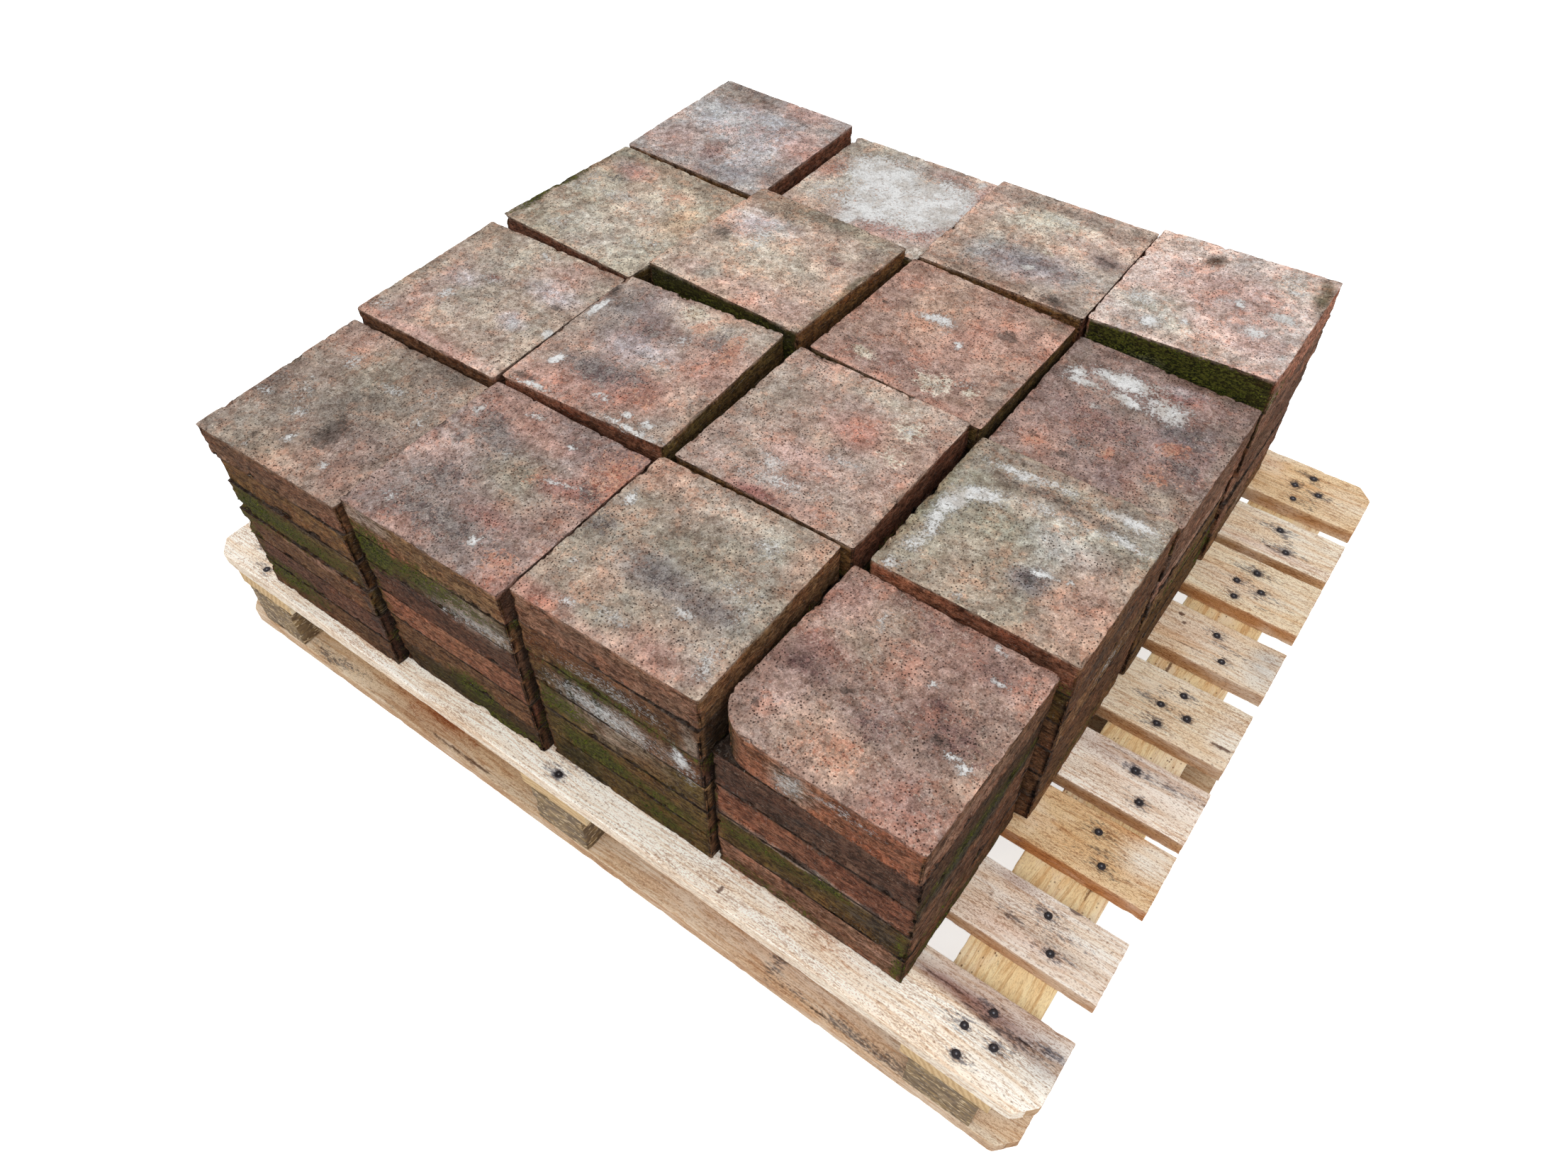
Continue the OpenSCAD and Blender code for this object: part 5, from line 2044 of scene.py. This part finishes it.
# Colours of the long sides of the deck boards: the sawn wood's own colour, partly darkened as painted
# shade.
SIDE_WOOD_WITH_SHADE = {
    1: (240, 228, 210), 2: (196, 152, 110), 3: (196, 134, 80), 4: (200, 160, 118),
    5: (186, 148, 110), 6: (192, 148, 104), 7: (198, 146, 96), 8: (204, 164, 118),
    9: (200, 156, 108),
}
print("colours for", len(DECK), "boards")

# %% Deck boards
CORNER_CLIP = 20 * MM
DECK_EDGE = 1.2 * MM
LOAD_SIDE = 0.44
MIDDLE_STEPS = {1: 6 * MM, 9: 9 * MM}
close_step = 2.6 * MM
deck_total = 0
for number, (base, marks, stains, cracks) in DECK.items():
    node = "deck_board_" + str(number)
    low, high = node_box(node)
    nails = [nail for nail in NAILS if low[1] < nail[1] < high[1]]
    stretches = [(low[0], -LOAD_SIDE, 4.5 * MM), (LOAD_SIDE, high[0], close_step)]
    if number in MIDDLE_STEPS:
        stretches.append((-LOAD_SIDE, LOAD_SIDE, MIDDLE_STEPS[number]))
    crack_lines = [place * MM + shift * MM for _, _, place, _ in cracks for shift in (-1.5, 0, 1.5)]
    lines = (
        stretch_lines(low[0], high[0], DECK_EDGE, stretches, 26 * MM),
        grid_lines(low[1], high[1], 3.4 * MM, DECK_EDGE, crack_lines),
        grid_lines(low[2], high[2], 4.5 * MM, DECK_EDGE),
    )
    clips = corner_clips(number == 1, number == 9)
    board = timber_blank("deck_" + str(number), node, lines, DECK_EDGE, clips)
    points = point_places(board.data)
    press_nails(points, high[2], nails)
    open_cracks(points, high[2], cracks)
    board.data.vertices.foreach_set("co", points.ravel())
    paint_timber(board, base, END_WOOD[number], SIDE_WOOD_WITH_SHADE[number], marks, stains, nails, cracks)
    settings = {"Grain": GRAIN_ALONG_X, "Material": deck_timber}
    deck_total += finish_timber(board, [node], settings)
print("deck boards:", deck_total, "triangles")

# %% [markdown]
# ## Stringers and bottom boards
#
# Three stringers run from front to back under the deck, so their grain is turned, and
# three bottom boards lie on the floor. The stringers are pale and clean, because the
# deck keeps them dry. The front bottom board has brown stains where water stood.

# %% Stringers
STRINGER_EDGE = 1.4 * MM
STRINGER_END = (232, 222, 192)
STRINGER_SIDE = (220, 202, 164)
STRINGERS = {
    "left": ((240, 220, 182), []),
    "middle": ((238, 218, 180), []),
    "right": ((250, 228, 180), [
        ("knot", (520, 150, 8, 30, 0.5), (488, 60, 2, 60, 0.8), (540, -240, 5, 30, 0.6, 4),
         (500, -130, 3, 50, 0.6, -2), (530, 280, 3, 60, 0.6, 2), (515, 390, 6, 12, 0.8)),
        ("damp", (520, -330, 30, 30, 0.3)),
    ]),
}
stringer_total = 0
for side_name, (base, stains) in STRINGERS.items():
    node = "stringer_" + side_name
    low, high = node_box(node)
    along_step = 5 * MM if side_name == "right" else 14 * MM
    lines = (
        grid_lines(low[0], high[0], 5 * MM, STRINGER_EDGE),
        stretch_lines(low[1], high[1], STRINGER_EDGE, [], along_step),
        grid_lines(low[2], high[2], 4 * MM, STRINGER_EDGE),
    )
    beam = timber_blank("beam_" + side_name, node, lines, STRINGER_EDGE, (), 1)
    paint_timber(beam, base, STRINGER_END, STRINGER_SIDE, [], stains, [], [])
    settings = {"Grain": GRAIN_ALONG_Y, "Material": stringer_timber}
    stringer_total += finish_timber(beam, [node], settings)
print("stringers:", stringer_total, "triangles")

# %% Bottom boards
BOTTOM_END = (186, 158, 126)
BOTTOM_SIDE = (198, 168, 134)
BOTTOM = {
    "front": ((220, 200, 172), [
        ("rust", (-250, -446, 80, 40, 0.9), (-120, -430, 50, 34, 0.9)),
        ("pink", (300, -450, 260, 50, 0.45)), ("brown", (-230, -494, 110, 8, 0.5)),
        ("pale", (520, -450, 90, 60, 0.4)), ("tan", (-450, -440, 140, 60, 0.4)),
    ], [
        ("damp", (-230, -450, 100, 34, 0.7), (-90, -430, 70, 20, 0.7), (-130, -436, 26, 22, 1.1),
         (-300, -440, 40, 24, 0.9), (430, -440, 60, 20, 0.6)), ("knot", (-200, -494, 60, 4, 0.6),
         (-330, -496, 80, 4, 0.5), (-150, -494, 40, 4, 0.8), (-90, -470, 7, 5, 0.9),
         (360, -496, 30, 3, 0.5)), ("iron", (300, -450, 14, 50, 0.6), (420, -492, 110, 7, 0.6),
         (-420, -490, 60, 10, 0.5)),
    ]),
    "middle": ((204, 180, 150), [], [("damp", (0, 0, 300, 30, 0.4))]),
    "back": ((206, 184, 156), [], [("damp", (-200, 440, 200, 30, 0.5))]),
}
bottom_total = 0
for depth_name, (base, marks, stains) in BOTTOM.items():
    node = "bottom_board_" + depth_name
    low, high = node_box(node)
    along_step = 5.5 * MM if depth_name == "front" else 14 * MM
    lines = (
        stretch_lines(low[0], high[0], DECK_EDGE, [(0.5, 0.7, 4.5 * MM)], along_step),
        grid_lines(low[1], high[1], 5 * MM, DECK_EDGE),
        grid_lines(low[2], high[2], 4 * MM, DECK_EDGE),
    )
    clips = corner_clips(depth_name == "front", depth_name == "back")
    board = timber_blank("bottom_" + depth_name, node, lines, DECK_EDGE, clips)
    paint_timber(board, base, BOTTOM_END, BOTTOM_SIDE, marks, stains, [], [])
    settings = {"Grain": GRAIN_ALONG_X, "Material": bottom_timber}
    bottom_total += finish_timber(board, [node], settings)
print("bottom boards:", bottom_total, "triangles")

# %% [markdown]
# ## Blocks
#
# Nine pressed blocks hold the deck and the bottom boards apart. The same tree wears
# them, but their chips lie every way, so its noise isn't stretched.

# %% Blocks
BLOCK_EDGE = 1.5 * MM
BLOCK_WEAR = {
    "Grain": (0.6, 0.6, 1.2),
    "Bruise depth": 4.0 * MM,
    "Furrow depth": 1.8 * MM,
    "Fray depth": 0.4 * MM,
    "Material": pressed_block,
}
block_total = 0
for name in sorted(NODES):
    if not name.startswith("block_"):
        continue
    low, high = node_box(name)
    block_step = (4.5 if "front" in name else 8) * MM
    lines = [grid_lines(low[axis], high[axis], block_step, BLOCK_EDGE) for axis in range(3)]
    block = timber_blank(name.replace("block", "pressed"), name, lines, BLOCK_EDGE, (), 2)
    block_total += finish_timber(block, [name], BLOCK_WEAR)
print("blocks:", block_total, "triangles")

# %% [markdown]
# ## Nails
#
# Small things that repeat are what Instance on Points is for: one nail head is drawn
# as a turned profile, flat with a small dimple, and the tree puts it on all 78 nail
# places, each turned and tilted a little by a fixed seed.

# %% Nail tree
def nail_tree():
    """Nail places to nail heads."""
    tree, given, result = new_tree(
        "driven nails", "GeometryNodeTree",
        [
            ("Geometry", GEOMETRY, None),
            ("Head", OBJECT, None),
            ("Tilt", FLOAT, 0.05),
            ("Seed", "NodeSocketInt", 3),
            ("Material", MATERIAL, None),
        ],
        [("Geometry", GEOMETRY)],
    )
    most = add_node(
        tree, "ShaderNodeCombineXYZ", {"X": given["Tilt"], "Y": given["Tilt"], "Z": 3.14}
    ).outputs[0]
    least = stretched(tree, most, (-1.0, -1.0, -1.0))
    turn = add_node(
        tree, "FunctionNodeRandomValue", {0: least, 1: most, "Seed": given["Seed"]},
        data_type="FLOAT_VECTOR",
    ).outputs[0]
    rotation = add_node(tree, "FunctionNodeEulerToRotation", {0: turn}).outputs[0]
    placed = copies(tree, given["Geometry"], given["Head"], Rotation=rotation)
    return finish_tree(tree, made_real(tree, placed), given, result)


def nail_head(radius=4.4 * MM, half_height=0.5 * MM, steps=18):
    """A turned nail head about its own middle, with its dimple."""
    profile = [
        (0.0, 0.15), (0.22, 0.2), (0.32, 0.62), (0.6, 0.7), (0.88, 0.62), (1.0, 0.1),
        (0.96, -0.7), (0.7, -1.0),
    ]
    points = [(0.0, 0.0, profile[0][1] * half_height)]
    struck = [1.0]
    for share, level in profile[1:]:
        for turn in range(steps):
            angle = turn * math.tau / steps
            reach = share * radius
            points.append((reach * math.cos(angle), reach * math.sin(angle), level * half_height))
            # How much painted highlight each ring gets: most at the middle.
            struck.append(max(0.0, 1.0 - share * 3.2))
    faces = [[0, 1 + turn, 1 + (turn + 1) % steps] for turn in range(steps)]
    for ring in range(len(profile) - 2):
        for turn in range(steps):
            a = 1 + ring * steps + turn
            b = 1 + ring * steps + (turn + 1) % steps
            faces.append([a, a + steps, b + steps, b])
    last = 1 + (len(profile) - 2) * steps
    faces.append([last + turn for turn in reversed(range(steps))])
    return new_mesh_object("head", points, faces, [("struck", struck)])


nails = new_mesh_object("nails", NAILS, [])
head = nail_head()
run_nodes(nails, nail_tree(), {"Head": head, "Material": nail_steel})
bpy.data.objects.remove(head)
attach(nails, "root")
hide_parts("nail_heads")
print("nails:", triangle_count(nails), "triangles")
